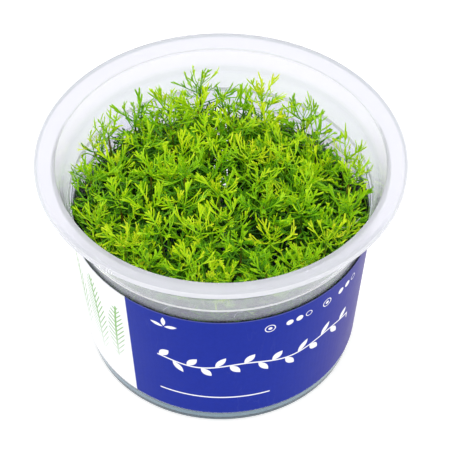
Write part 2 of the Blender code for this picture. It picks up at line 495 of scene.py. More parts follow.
MARK_PLACE = {
    "Across": ("Float", 0.0),
    "Up": ("Float", 0.0),
    "Centre Across": ("Float", 0.0),
    "Centre Up": ("Float", 0.0),
}


def disc_group() -> bpy.types.NodeTree:
    """A printed round mark, filled or hollow.

    Returns:
        The group: 1 where the distance from the mark's centre is under its radius and over its
        hollow radius, with a soft edge of print width.
    """
    tree, given, out = new_group(
        "round_mark", {**MARK_PLACE, "Radius": ("Float", 1.0), "Hollow": ("Float", -1.0)}, "Mask"
    )
    along = tree.math("SUBTRACT", given["Across"], given["Centre Across"])
    above = tree.math("SUBTRACT", given["Up"], given["Centre Up"])
    squares = tree.math("ADD", tree.math("MULTIPLY", along, along), tree.math("MULTIPLY", above, above))
    reach = tree.math("SQRT", squares)
    edge = PRINT_EDGE / MM
    inside = tree.soft_step(tree.math("SUBTRACT", given["Radius"], reach), 0.0, edge)
    outside = tree.soft_step(tree.math("SUBTRACT", reach, given["Hollow"]), 0.0, edge)
    tree.put(out, tree.math("MULTIPLY", inside, outside))
    return tree.tree


def leaf_mark_group() -> bpy.types.NodeTree:
    """A printed leaf: two arcs that meet in a point at both ends.

    Returns:
        The group: with x along the leaf and y across it, 1 where |y| is under half the breadth
        times 1 - (2 x / length) squared.
    """
    tree, given, out = new_group(
        "leaf_mark",
        {**MARK_PLACE, "Lean": ("Float", 0.0), "Length": ("Float", 4.0), "Breadth": ("Float", 1.4)},
        "Mask",
    )
    along = tree.math("SUBTRACT", given["Across"], given["Centre Across"])
    above = tree.math("SUBTRACT", given["Up"], given["Centre Up"])
    cosine, sine = tree.math("COSINE", given["Lean"]), tree.math("SINE", given["Lean"])
    run = tree.math("ADD", tree.math("MULTIPLY", along, cosine), tree.math("MULTIPLY", above, sine))
    off = tree.math("SUBTRACT", tree.math("MULTIPLY", above, cosine), tree.math("MULTIPLY", along, sine))
    share = tree.math("DIVIDE", tree.math("MULTIPLY", run, 2.0), given["Length"])
    swell = tree.math("SUBTRACT", 1.0, tree.math("MULTIPLY", share, share))
    half = tree.math("MULTIPLY", tree.math("MULTIPLY", given["Breadth"], 0.5), swell)
    room = tree.math("SUBTRACT", half, tree.math("ABSOLUTE", off))
    tree.put(out, tree.soft_step(room, 0.0, PRINT_EDGE / MM))
    return tree.tree


def frond_group() -> bpy.types.NodeTree:
    """A faded feathery frond: fine strokes that rise from both sides of a bowed stalk.

    Returns:
        The group: 1 on a stroke, where (up - slope * distance from the stalk) modulo the gap is
        small and the distance is under the frond's half breadth at that height. The half breadth
        is the breadth times the root of 4 * rise * (1 - rise), with the rise from 0 to 1.
    """
    tree, given, out = new_group(
        "frond_mark",
        {
            "Across": ("Float", 0.0),
            "Up": ("Float", 0.0),
            "Foot Across": ("Float", 0.0),
            "Foot Up": ("Float", 0.0),
            "Bow": ("Float", 0.0),
            "Height": ("Float", 22.0),
            "Breadth": ("Float", 3.4),
        },
        "Mask",
    )
    rise = tree.math("DIVIDE", tree.math("SUBTRACT", given["Up"], given["Foot Up"]), given["Height"])
    bow = tree.math("MULTIPLY", given["Bow"], tree.math("MULTIPLY", rise, rise))
    apart = tree.math("SUBTRACT", tree.math("SUBTRACT", given["Across"], given["Foot Across"]), bow)
    aside = tree.math("ABSOLUTE", apart)
    climb = tree.math("MULTIPLY_ADD", apart, 0.55, tree.math("MULTIPLY", aside, 1.15))
    slant = tree.math("SUBTRACT", given["Up"], climb)
    stroke = tree.math("ABSOLUTE", tree.math("SUBTRACT", tree.math("FLOORED_MODULO", slant, 2.0), 1.0))
    drawn = tree.math("SUBTRACT", 1.0, tree.soft_step(stroke, 0.14, 0.44))
    taper = tree.math("MULTIPLY", rise, tree.math("SUBTRACT", 1.0, rise))
    swell = tree.math("MAXIMUM", tree.math("MULTIPLY", taper, 4.0), 0.0)
    half = tree.math("MULTIPLY", given["Breadth"], tree.math("POWER", swell, 0.5))
    within = tree.soft_step(tree.math("SUBTRACT", half, aside), 0.0, 0.9)
    stalk = tree.math("SUBTRACT", 1.0, tree.soft_step(aside, 0.15, 0.5))
    inside = tree.soft_step(taper, 0.0, 0.04)
    leafy = tree.math("MULTIPLY", drawn, within)
    tree.put(out, tree.math("MULTIPLY", tree.math("MAXIMUM", leafy, stalk), inside))
    return tree.tree


@dataclass
class Effects:
    """The node groups that more than one material or mark uses, each built once."""

    mottle: bpy.types.NodeTree = field(default_factory=mottle_group)
    scuffs: bpy.types.NodeTree = field(default_factory=scuff_group)
    disc: bpy.types.NodeTree = field(default_factory=disc_group)
    leaf: bpy.types.NodeTree = field(default_factory=leaf_mark_group)
    frond: bpy.types.NodeTree = field(default_factory=frond_group)


def start_material(name: str) -> tuple[bpy.types.Material, Tree, bpy.types.Node]:
    """A new material with its node tree.

    Args:
        name: the material's name.

    Returns:
        The material, its tree and its Principled shader.
    """
    material = bpy.data.materials.new(name)
    material.use_nodes = True
    tree = Tree(material.node_tree)
    return material, tree, material.node_tree.nodes["Principled BSDF"]


def add_bump(
    tree: Tree, shader: bpy.types.Node, height: object, strength: float, distance: float
) -> None:
    """Feeds a height through a Bump node into the shader's normal.

    Args:
        tree: the material's tree.
        shader: its shader.
        height: the height, from 0 to 1.
        strength: how much of the bump is used.
        distance: how far a height of 1 stands out, in metres.
    """
    bump = tree.node("ShaderNodeBump")
    bump.inputs["Strength"].default_value = strength
    bump.inputs["Distance"].default_value = distance
    tree.put(bump.inputs["Height"], height)
    tree.put(shader.inputs["Normal"], bump.outputs["Normal"])


@dataclass(frozen=True)
class PlasticFinish:
    """Moulded milky plastic: see-through in part, satin, with a faint haze and handling scuffs.

    Scales count patches to a metre. The bend is the IOR.
    """

    name: str
    colour: tuple[float, float, float]
    haze: tuple[float, float, float]
    clearness: float
    roughness: float
    bend: float = 1.30
    haze_scale: float = 60.0
    rough_scale: float = 140.0
    rough_range: tuple[float, float] = (0.8, 1.2)
    scuff_scale: float = 170.0
    scuff_share: float = 0.03
    ripple_scale: float = 90.0
    ripple: float = 0.004
    ripple_depth: float = 0.5 * MM

    def material(self, effects: Effects) -> bpy.types.Material:
        """Builds the material.

        Args:
            effects: the shared node groups.

        Returns:
            The plastic.
        """
        material, tree, shader = start_material(self.name)
        place = tree.place()
        patch = tree.use(effects.mottle, Place=place, Scale=self.haze_scale, Low=0.0, High=1.0)
        scuff = tree.use(effects.scuffs, Place=place, Scale=self.scuff_scale)
        tint = tree.mix(patch, (*self.colour, 1.0), (*self.haze, 1.0))
        scuffed = tree.mix(tree.math("MULTIPLY", scuff, self.scuff_share), tint, WHITE)
        tree.put(shader.inputs["Base Color"], scuffed)
        low, high = (self.roughness * share for share in self.rough_range)
        rough = tree.use(effects.mottle, Place=place, Scale=self.rough_scale, Low=low, High=high)
        tree.put(shader.inputs["Roughness"], tree.math("MULTIPLY_ADD", scuff, self.scuff_share, rough))
        shader.inputs["Transmission Weight"].default_value = self.clearness
        shader.inputs["IOR"].default_value = self.bend
        ripples = tree.noise(place, self.ripple_scale, 1.0)
        add_bump(tree, shader, ripples, self.ripple, self.ripple_depth)
        return material


@dataclass(frozen=True)
class GelFinish:
    """Wet growing gel: clear with a cool cloudiness that thickens in drifts."""

    name: str = "growing_gel"
    clear: tuple[float, float, float] = (0.07, 0.09, 0.11)
    cloudy: tuple[float, float, float] = (0.11, 0.14, 0.16)
    clearness: float = 0.4
    bend: float = 1.34
    drift_scale: float = 90.0
    rough_scale: float = 200.0
    rough_range: tuple[float, float] = (0.08, 0.2)
    ripple_scale: float = 260.0
    ripple: float = 0.1
    ripple_depth: float = 0.4 * MM

    def material(self, effects: Effects) -> bpy.types.Material:
        """Builds the material.

        Args:
            effects: the shared node groups.

        Returns:
            The gel.
        """
        material, tree, shader = start_material(self.name)
        place = tree.place()
        drift = tree.use(effects.mottle, Place=place, Scale=self.drift_scale, Low=0.0, High=1.0)
        tint = tree.mix(drift, (*self.clear, 1.0), (*self.cloudy, 1.0))
        tree.put(shader.inputs["Base Color"], tint)
        low, high = self.rough_range
        rough = tree.use(effects.mottle, Place=place, Scale=self.rough_scale, Low=low, High=high)
        tree.put(shader.inputs["Roughness"], rough)
        shader.inputs["Transmission Weight"].default_value = self.clearness
        shader.inputs["IOR"].default_value = self.bend
        ripples = tree.noise(place, self.ripple_scale, 2.0)
        add_bump(tree, shader, ripples, self.ripple, self.ripple_depth)
        return material


@dataclass(frozen=True)
class PrintLayout:
    """Where the wrap's plain marks are: millimetres round from the front, and up from its foot.

    A frond is its foot's place round and up, how far its tip bows to the right, its height and its
    breadth.
    """

    panel_right: float = -25.1
    field_right: float = 70.0
    dot_radius: float = 1.05
    dot_line: float = 0.35
    dot_row: float = 35.0
    dot_starts: tuple[float, float] = (17.3, 33.9)
    dot_step: float = 2.75
    dot_climb: float = 0.15
    ring_before: float = 5.2
    ring: tuple[float, float] = (1.5, 1.1)
    ring_dot: float = 0.6
    garland_from: float = -17.0
    garland_to: float = 39.5
    garland_up: float = 21.0
    garland_step: float = 3.7
    garland_wave: float = 24.8
    garland_swing: float = 0.9
    garland_half: float = 0.32
    leaf_centre: tuple[float, float] = (0.1, 1.8)
    leaf_lean: float = 0.9
    leaf_size: tuple[float, float] = (4.5, 2.1)
    sprig_across: float = -14.5
    sprig_up: float = 34.6
    sprig_leaves: tuple[tuple[float, float], ...] = (
        (0.25, 1.9), (math.pi / 2.0, 2.1), (math.pi - 0.25, 1.9),
    )
    sprig_size: tuple[float, float] = (3.6, 1.3)
    rule_from: float = -17.0
    rule_to: float = 13.0
    rule_up: float = 7.2
    rule_half: float = 0.3
    rule_edge: float = 0.12
    line_end: float = 0.2
    panel_edge: float = 0.1
    fronds: tuple[tuple[float, ...], ...] = (
        (-30.5, 10.0, 1.5, 23.0, 3.4),
        (-37.5, 7.0, -2.0, 29.0, 4.4),
        (-46.0, 8.0, -3.0, 27.0, 4.4),
        (-54.0, 7.0, 2.0, 28.0, 4.0),
    )
    frond_fade: tuple[float, float] = (6.0, 24.0)


@dataclass(frozen=True)
class FilmFinish:
    """Printed film: a blue field and a white panel with plain plant marks, satin, a little rubbed.

    To the right of the front the blue turns to a duller violet, a painted sheen.
    """

    name: str = "printed_film"
    blue: tuple[float, float, float] = (0.004, 0.020, 0.30)
    painted_sheen: tuple[float, float, float] = (0.055, 0.030, 0.245)
    white: tuple[float, float, float] = (0.88, 0.88, 0.91)
    fern: tuple[float, float, float] = (0.20, 0.44, 0.11)
    rubbed: tuple[float, float, float] = (0.75, 0.77, 0.86)
    painted_sheen_reach: tuple[float, float] = (18.0, 62.0)
    grain_scale: float = 900.0
    grain_range: tuple[float, float] = (0.82, 1.18)
    scuff_scale: float = 240.0
    scuff_share: float = 0.01
    edge_breadth: float = 0.35
    edge_share: float = 0.12
    rough_scale: float = 160.0
    rough_range: tuple[float, float] = (0.3, 0.46)
    gloss: float = 0.08
    ripple_scale: float = 500.0
    ripple: float = 0.05
    ripple_depth: float = 0.1 * MM
    layout: PrintLayout = PrintLayout()

    def dots(self, tree: Tree, effects: Effects, across: object, up: object) -> list[bpy.types.NodeSocket]:
        """Rows of two filled dots and a hollow one, each with a ringed dot before it.

        Args:
            tree: the material's tree.
            effects: the shared node groups.
            across: millimetres round from the front.
            up: millimetres up from the film's foot.

        Returns:
            A mask for each round mark.
        """
        lay = self.layout
        discs = []
        for start in lay.dot_starts:
            for place, hollow in enumerate((-1.0, -1.0, lay.dot_radius - lay.dot_line)):
                row = lay.dot_row + lay.dot_climb * place
                discs.append((start + place * lay.dot_step, row, lay.dot_radius, hollow))
            discs.append((start - lay.ring_before, lay.dot_row, *lay.ring))
            discs.append((start - lay.ring_before, lay.dot_row, lay.ring_dot, -1.0))
        return [
            tree.use(
                effects.disc, Across=across, Up=up, Centre_Across=centre, Centre_Up=row, Radius=radius,
                Hollow=hollow,
            )
            for centre, row, radius, hollow in discs
        ]

    def sprig(self, tree: Tree, effects: Effects, across: object, up: object) -> list[bpy.types.NodeSocket]:
        """Three leaves from one point.

        Args:
            tree: the material's tree.
            effects: the shared node groups.
            across: millimetres round from the front.
            up: millimetres up from the film's foot.

        Returns:
            A mask for each leaf.
        """
        lay = self.layout
        length, breadth = lay.sprig_size
        return [
            tree.use(
                effects.leaf, Across=across, Up=up, Centre_Across=lay.sprig_across + reach * math.cos(lean),
                Centre_Up=lay.sprig_up + reach * math.sin(lean), Lean=lean, Length=length, Breadth=breadth,
            )
            for lean, reach in lay.sprig_leaves
        ]

    def between(self, tree: Tree, across: object, start: float, end: float) -> bpy.types.NodeSocket:
        """Where the print is between the two ends of a line.

        Args:
            tree: the material's tree.
            across: millimetres round from the front.
            start: the line's left end.
            end: its right end.

        Returns:
            A mask that is 1 between the ends.
        """
        soft = self.layout.line_end
        begun = tree.soft_step(across, start, start + soft)
        return tree.math("MULTIPLY", begun, tree.soft_step(across, end + soft, end))

    def garland(self, tree: Tree, effects: Effects, across: object, up: object) -> bpy.types.NodeSocket:
        """A wavy line with a leaf above and below it in turn.

        The line's height is up + swing * sin(2 pi * across / wave). Each step along it is a cell
        with one leaf, and in every other cell the leaf is turned over the line.

        Args:
            tree: the material's tree.
            effects: the shared node groups.
            across: millimetres round from the front.
            up: millimetres up from the film's foot.

        Returns:
            A mask that is 1 on the garland.
        """
        lay = self.layout
        wave = tree.math("SINE", tree.math("MULTIPLY", across, 2.0 * math.pi / lay.garland_wave))
        middle = tree.math("MULTIPLY_ADD", wave, lay.garland_swing, lay.garland_up)
        above = tree.math("SUBTRACT", up, middle)
        line = tree.math("SUBTRACT", lay.garland_half, tree.math("ABSOLUTE", above))
        cell = tree.math("DIVIDE", tree.math("SUBTRACT", across, lay.garland_from), lay.garland_step)
        share = tree.math("SUBTRACT", tree.math("FRACT", cell), 0.5)
        within = tree.math("MULTIPLY", share, lay.garland_step)
        odd = tree.math("FLOORED_MODULO", tree.math("FLOOR", cell), 2.0)
        side = tree.math("SUBTRACT", 1.0, tree.math("MULTIPLY", odd, 2.0))
        length, breadth = lay.leaf_size
        blade = tree.use(
            effects.leaf, Across=within, Up=tree.math("MULTIPLY", above, side),
            Centre_Across=lay.leaf_centre[0], Centre_Up=lay.leaf_centre[1], Lean=lay.leaf_lean,
            Length=length, Breadth=breadth,
        )
        drawn = tree.most([blade, tree.soft_step(line, 0.0, PRINT_EDGE / MM)])
        return tree.math("MULTIPLY", drawn, self.between(tree, across, lay.garland_from, lay.garland_to))

    def rule(self, tree: Tree, across: object, up: object) -> bpy.types.NodeSocket:
        """A thin level line.

        Args:
            tree: the material's tree.
            across: millimetres round from the front.
            up: millimetres up from the film's foot.

        Returns:
            A mask that is 1 on the line.
        """
        lay = self.layout
        apart = tree.math("ABSOLUTE", tree.math("SUBTRACT", up, lay.rule_up))
        room = tree.math("SUBTRACT", lay.rule_half, apart)
        ends = self.between(tree, across, lay.rule_from, lay.rule_to)
        return tree.math("MULTIPLY", tree.soft_step(room, 0.0, lay.rule_edge), ends)

    def ferns(self, tree: Tree, effects: Effects, across: object, up: object) -> bpy.types.NodeSocket:
        """The faded fronds on the white panel.

        Args:
            tree: the material's tree.
            effects: the shared node groups.
            across: millimetres round from the front.
            up: millimetres up from the film's foot.

        Returns:
            A mask that is 1 on a stroke and fades towards the fronds' feet.
        """
        whole = tree.most([
            tree.use(
                effects.frond, Across=across, Up=up, Foot_Across=foot, Foot_Up=low, Bow=bow,
                Height=height, Breadth=breadth,
            )
            for foot, low, bow, height, breadth in self.layout.fronds
        ])
        fade = tree.soft_step(up, *self.layout.frond_fade)
        return tree.math("MULTIPLY", whole, tree.math("MULTIPLY_ADD", fade, 0.75, 0.20))

    def material(self, effects: Effects, round_length: float, height: float) -> bpy.types.Material:
        """Builds the material.

        Args:
            effects: the shared node groups.
            round_length: the film's length round the tub, in millimetres.
            height: the film's height, in millimetres.

        Returns:
            The printed film.
        """
        material, tree, shader = start_material(self.name)
        split = tree.node("ShaderNodeSeparateXYZ")
        tree.put(split.inputs[0], tree.node("ShaderNodeUVMap", uv_map="UVMap").outputs[0])
        place = tree.place()
        across = tree.math("MULTIPLY", tree.math("SUBTRACT", split.outputs[0], 0.5), round_length)
        up = tree.math("MULTIPLY", split.outputs[1], height)
        lay = self.layout
        panel = tree.math(
            "ADD", tree.soft_step(across, lay.panel_right + lay.panel_edge, lay.panel_right - lay.panel_edge),
            tree.soft_step(across, lay.field_right - lay.panel_edge, lay.field_right + lay.panel_edge),
        )
        # Painted sheen: the blue turns violet to the right of the front.
        side = tree.soft_step(across, *self.painted_sheen_reach)
        ink = tree.mix(side, (*self.blue, 1.0), (*self.painted_sheen, 1.0))
        low, high = self.grain_range
        grain = tree.use(effects.mottle, Place=place, Scale=self.grain_scale, Low=low, High=high)
        ink = tree.mix(1.0, ink, grain, "MULTIPLY")
        marks = tree.most([
            *self.dots(tree, effects, across, up),
            *self.sprig(tree, effects, across, up),
            self.garland(tree, effects, across, up),
            self.rule(tree, across, up),
        ])
        field_print = tree.mix(marks, ink, (*self.white, 1.0))
        card = tree.mix(self.ferns(tree, effects, across, up), (*self.white, 1.0), (*self.fern, 1.0))
        printed = tree.mix(panel, field_print, card)
        scuff = tree.use(effects.scuffs, Place=place, Scale=self.scuff_scale)
        from_edge = tree.math("MINIMUM", up, tree.math("SUBTRACT", height, up))
        edge = tree.math("SUBTRACT", 1.0, tree.soft_step(from_edge, 0.0, self.edge_breadth))
        worn = tree.most([
            tree.math("MULTIPLY", scuff, self.scuff_share), tree.math("MULTIPLY", edge, self.edge_share),
        ])
        tree.put(shader.inputs["Base Color"], tree.mix(worn, printed, (*self.rubbed, 1.0)))
        low, high = self.rough_range
        rough = tree.use(effects.mottle, Place=place, Scale=self.rough_scale, Low=low, High=high)
        tree.put(shader.inputs["Roughness"], rough)
        shader.inputs["Specular IOR Level"].default_value = self.gloss
        ripples = tree.noise(place, self.ripple_scale, 2.0)
        add_bump(tree, shader, ripples, self.ripple, self.ripple_depth)
        return material


@dataclass(frozen=True)
class PlainFilmFinish:
    """Unprinted film: dull and faintly cloudy, and see-through in part where it is thin."""

    name: str
    pale: tuple[float, float, float]
    cloudy: tuple[float, float, float]
    clearness: float = 0.0
    bend: float = 1.49
    cloud_scale: float = 120.0
    rough_scale: float = 300.0
    rough_range: tuple[float, float] = (0.5, 0.7)
    ripple_scale: float = 700.0
    ripple: float = 0.1
    ripple_depth: float = 0.1 * MM

    def material(self, effects: Effects) -> bpy.types.Material:
        """Builds the material.

        Args:
            effects: the shared node groups.

        Returns:
            The plain film.
        """
        material, tree, shader = start_material(self.name)
        place = tree.place()
        patch = tree.use(effects.mottle, Place=place, Scale=self.cloud_scale, Low=0.0, High=1.0)
        tint = tree.mix(patch, (*self.pale, 1.0), (*self.cloudy, 1.0))
        tree.put(shader.inputs["Base Color"], tint)
        low, high = self.rough_range
        rough = tree.use(effects.mottle, Place=place, Scale=self.rough_scale, Low=low, High=high)
        tree.put(shader.inputs["Roughness"], rough)
        shader.inputs["Transmission Weight"].default_value = self.clearness
        shader.inputs["IOR"].default_value = self.bend
        ripples = tree.noise(place, self.ripple_scale, 2.0)
        add_bump(tree, shader, ripples, self.ripple, self.ripple_depth)
        return material


@dataclass(frozen=True)
class LeafFinish:
    """Water milfoil: lime at the young tips, deeper green with age and with painted shade low in the canopy,
    red-brown on some stems.

    The greens run from old and shaded to young and lit by tone, and the shift moves a whole plant along them.
    A tone near ROOT_TONE marks a bare pale root.
    """

    name: str
    shift: float
    greens: tuple[tuple[float, tuple[float, float, float]], ...] = (
        (0.0, (0.033, 0.14, 0.006)),
        (0.3, (0.145, 0.44, 0.006)),
        (0.55, (0.36, 0.70, 0.006)),
        (0.78, (0.61, 0.86, 0.008)),
        (1.0, (0.84, 0.92, 0.03)),
    )
    red_brown: tuple[float, float, float] = (0.26, 0.10, 0.025)
    root: tuple[float, float, float] = (0.74, 0.80, 0.66)
    patch_scale: float = 320.0
    patch_half: float = 0.14
    rough_scale: float = 500.0
    rough_range: tuple[float, float] = (0.28, 0.5)
    bend: float = 1.42
    gloss: float = 0.3
    vein_scale: float = 2500.0
    vein: float = 0.15
    vein_depth: float = 0.06 * MM

    def material(self, effects: Effects) -> bpy.types.Material:
        """Builds the material.

        Args:
            effects: the shared node groups.

        Returns:
            The leaf green, coloured by the mesh's "tone" and "blush".
        """
        material, tree, shader = start_material(self.name)
        place = tree.place()
        tone = tree.node("ShaderNodeAttribute", attribute_name="tone").outputs["Fac"]
        blush = tree.node("ShaderNodeAttribute", attribute_name="blush").outputs["Fac"]
        low, high = self.shift - self.patch_half, self.shift + self.patch_half
        patch = tree.use(effects.mottle, Place=place, Scale=self.patch_scale, Low=low, High=high)
        ramp = tree.node("ShaderNodeValToRGB")
        elements = ramp.color_ramp.elements
        while len(elements) < len(self.greens):
            elements.new(0.5)
        for element, (position, colour) in zip(elements, self.greens):
            element.position = position
            element.color = (*colour, 1.0)
        tree.put(ramp.inputs[0], tree.math("ADD", tone, patch))
        reddish = tree.mix(blush, ramp.outputs[0], (*self.red_brown, 1.0))
        rooty = tree.soft_step(tone, 0.5 * ROOT_TONE, 0.8 * ROOT_TONE)
        tree.put(shader.inputs["Base Color"], tree.mix(rooty, reddish, (*self.root, 1.0)))
        low, high = self.rough_range
        rough = tree.use(effects.mottle, Place=place, Scale=self.rough_scale, Low=low, High=high)
        tree.put(shader.inputs["Roughness"], rough)
        shader.inputs["IOR"].default_value = self.bend
        shader.inputs["Specular IOR Level"].default_value = self.gloss
        add_bump(tree, shader, tree.noise(place, self.vein_scale, 1.0), self.vein, self.vein_depth)
        return material


# ---------------------------------------------------------------- pieces


def add_piece(
    name: str, mesh: bpy.types.Mesh, materials: list[bpy.types.Material], slot: Slot, *nodes: str
) -> None:
    """Makes a mesh a piece of the object that stands for CAD nodes.

    Args:
        name: the piece's name.
        mesh: its mesh, already in place.
        materials: its materials, in the order of its faces' material numbers.
        slot: the record's slot; not used.
        nodes: the CAD nodes that it stands for.
    """
    piece = bpy.data.objects.new(name, mesh)
    bpy.context.scene.collection.objects.link(piece)
    for material in materials:
        mesh.materials.append(material)
    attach(piece, BODY)
    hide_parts(*nodes)
    log.info("%s: %d faces for %s", name, len(mesh.polygons), ", ".join(nodes))


@dataclass(frozen=True)
class Zone:
    """A part of the tub's wall with its own finish: above a height, past a radius, on one side or both."""

    finish: PlasticFinish
    above: float = -1.0
    below: float = 1.0
    past: float = 0.0
    outside_only: bool = False

    def holds(self, height: np.ndarray, radius: np.ndarray, outside: np.ndarray) -> np.ndarray:
        """Whether faces lie in the zone.

        Args:
            height: each face's height.
            radius: each face's distance from the axis.
            outside: whether each face is on the tub's outer side.

        Returns:
            True for each face in the zone.
        """
        within = (height > self.above) & (height < self.below) & (radius > self.past)
        return within & (outside | (not self.outside_only))


# Where the tub's plastic changes, by height and by distance from the axis.
FOOT_TOP = 4.7 * MM
BAND_FOOT = 44.2 * MM
LEDGE_EDGE_FOOT = 48.85 * MM
NECK_FOOT = 49.98 * MM
LEDGE_EDGE_TOP = 49.99 * MM
NECK_BEND = 54.6 * MM
NECK_STEP = 57.2 * MM
CREASE_FOOT = 60.9 * MM
FLANGE_FOOT = 61.9 * MM
LIP_FOOT = 62.5 * MM
FLANGE_FROM = 42.2 * MM
LIP_FOOT_FROM = 46.7 * MM
LIP_FROM = 46.9 * MM


@dataclass
class Tub:
    """The moulded tub: foot ring, tapering body, ledge, flared neck, wide flange and lip.

    The profile's rows are radius, height and rounding in millimetres, out along the foot, up the
    outside, over the lip and down the inside to the wall's foot. The splits divide the straight
    walls, so that a zone ends at a row of faces.
    """

    height: float = 63.4 * MM
    wall: float = 1.0 * MM
    floor: float = 1.7 * MM
    floor_round: float = 1.2 * MM
    body_foot: float = 36.0 * MM
    body_top: float = 39.4 * MM
    taper_from: float = 1.0 * MM
    ledge_foot: float = 48.6 * MM
    splits: tuple[float, ...] = (14.0 * MM, 29.0 * MM, BAND_FOOT)
    profile: tuple[tuple[float, float, float], ...] = (
        (0.0, 0.7, 0.0),
        (32.75, 0.7, 0.4),
        (33.4, 0.0, 0.2),
        (35.93, 0.0, 0.9),
        (39.38, 48.6, 0.25),
        (40.15, 49.0, 0.3),
        (40.37, 50.0, 0.1),
        (40.72, 51.35, 0.4),
        (41.66, 55.0, 0.4),
        (42.24, 57.2, 0.4),
        (43.33, 61.4, 0.9),
        (46.8, 62.1, 0.12),
        (47.5, 62.1, 0.2),
        (47.5, 63.4, 0.42),
        (46.2, 63.4, 0.45),
        (42.3, 62.42, 0.7),
        (40.95, 57.2, 0.4),
        (40.39, 55.0, 0.4),
        (39.1, 49.98, 0.8),
        (38.75, 48.8, 0.8),
    )
    zones: tuple[Zone, ...] = (
        Zone(PlasticFinish("clear_body", (0.86, 0.86, 0.93), (0.89, 0.89, 0.95), 0.95, 0.06)),
        # A clear foot band whose dark blue tint is painted shade at the foot.
        Zone(
            PlasticFinish("clear_foot_painted_shade", (0.095, 0.215, 0.30), (0.12, 0.255, 0.34), 0.85, 0.15),
            below=FOOT_TOP,
        ),
        Zone(
            PlasticFinish("clear_band", (0.79, 0.80, 0.92), (0.81, 0.82, 0.935), 0.82, 0.08),
            above=BAND_FOOT,
        ),
        # A slightly lighter copy of the milky neck: painted light that offsets the leaves' shade on the lower
        # neck.
        Zone(
            PlasticFinish("milky_low_painted_light", (0.915, 0.925, 0.995), (0.93, 0.94, 1.0), 0.76, 0.14),
            above=NECK_FOOT,
        ),
        # A clearer band under the lip; its darker tint is painted shade under the flange.
        Zone(
            PlasticFinish("clear_neck_painted_shade", (0.74, 0.755, 0.80), (0.77, 0.785, 0.83), 0.88, 0.12),
            above=NECK_BEND, below=NECK_STEP,
        ),
        Zone(
            PlasticFinish("milky_neck", (0.905, 0.89, 0.98), (0.92, 0.905, 0.985), 0.80, 0.12),
            above=NECK_STEP,
        ),
        Zone(
            PlasticFinish("crease", (0.92, 0.905, 0.965), (0.935, 0.92, 0.975), 0.60, 0.30),
            above=CREASE_FOOT,
        ),
        Zone(
            PlasticFinish("milky_flange", (0.815, 0.82, 0.89), (0.84, 0.845, 0.905), 0.50, 0.22),
            above=FLANGE_FOOT, past=FLANGE_FROM,
        ),
        Zone(
            PlasticFinish("bright_lip", (0.89, 0.90, 0.95), (0.91, 0.915, 0.96), 0.38, 0.25),
            past=LIP_FROM,
        ),
        # Painted shade: a dark grey-green band at the lip's foot stands in for the shadow under the lip.
        Zone(
            PlasticFinish("lip_foot_painted_shade", (0.34, 0.40, 0.42), (0.37, 0.43, 0.45), 0.50, 0.25),
            past=LIP_FOOT_FROM, below=LIP_FOOT,
        ),
        # Painted highlight: a near-white ring on the ledge's outer face stands in for the light that catches
        # it.
        Zone(
            PlasticFinish("ledge_painted_highlight", (0.97, 0.975, 1.0), (0.98, 0.985, 1.0), 0.38, 0.30),
            above=LEDGE_EDGE_FOOT, below=LEDGE_EDGE_TOP, outside_only=True,
        ),
    )

    def body_radius(self, height: float) -> float:
        """The body's outer radius at a height, on its straight taper."""
        share = (height - self.taper_from) / (self.ledge_foot - self.taper_from)
        return self.body_foot + (self.body_top - self.body_foot) * share

    def outline(self) -> np.ndarray:
        """The wall's outline: out along the foot, up the outside, over the lip and down the inside.

        Returns:
            Rows of radius and height, with every corner rounded as a mould rounds it.
        """
        inner = self.body_radius(self.floor) - self.wall
        ends = np.array([(inner, self.floor, self.floor_round), (0.0, self.floor, 0.0)])
        corners = np.concatenate([np.array(self.profile) * MM, ends])
        return divided(rounded_outline(corners), np.array(self.splits))

    def build(self, effects: Effects) -> None:
        """Builds the tub as one turned shell, clear in its body and milkier from the ledge up.

        The outline's rows up to its highest point are the outer side. A face takes the finish of
        the last zone that holds it.

        Args:
            effects: the shared node groups.
        """
        outline = self.outline()
        mesh = turned(outline).to_mesh("tub_shell", True)
        centres = np.zeros(len(mesh.polygons) * 3, np.float32)
        mesh.polygons.foreach_get("center", centres)
        centres = centres.reshape(-1, 3)
        radius = np.linalg.norm(centres[:, :2], axis=1)
        outside = np.arange(len(centres)) < (int(np.argmax(outline[:, 1])) - 1) * ROUND_STEPS
        number = np.zeros(len(centres), np.int32)
        for place, zone in enumerate(self.zones):
            number[zone.holds(centres[:, 2], radius, outside)] = place
        mesh.polygons.foreach_set("material_index", number)
        finishes = [zone.finish.material(effects) for zone in self.zones]
        add_piece("tub_shell", mesh, finishes, Slot.PLASTIC, "cup")


class FilmFace(IntEnum):
    """The film's kinds of face, numbered in the order of its finishes."""

    PRINT = 0
    BACK = 1
    THIN = 2
    FIELD_BACK = 3
    PAINTED_SHADE_BACK = 4


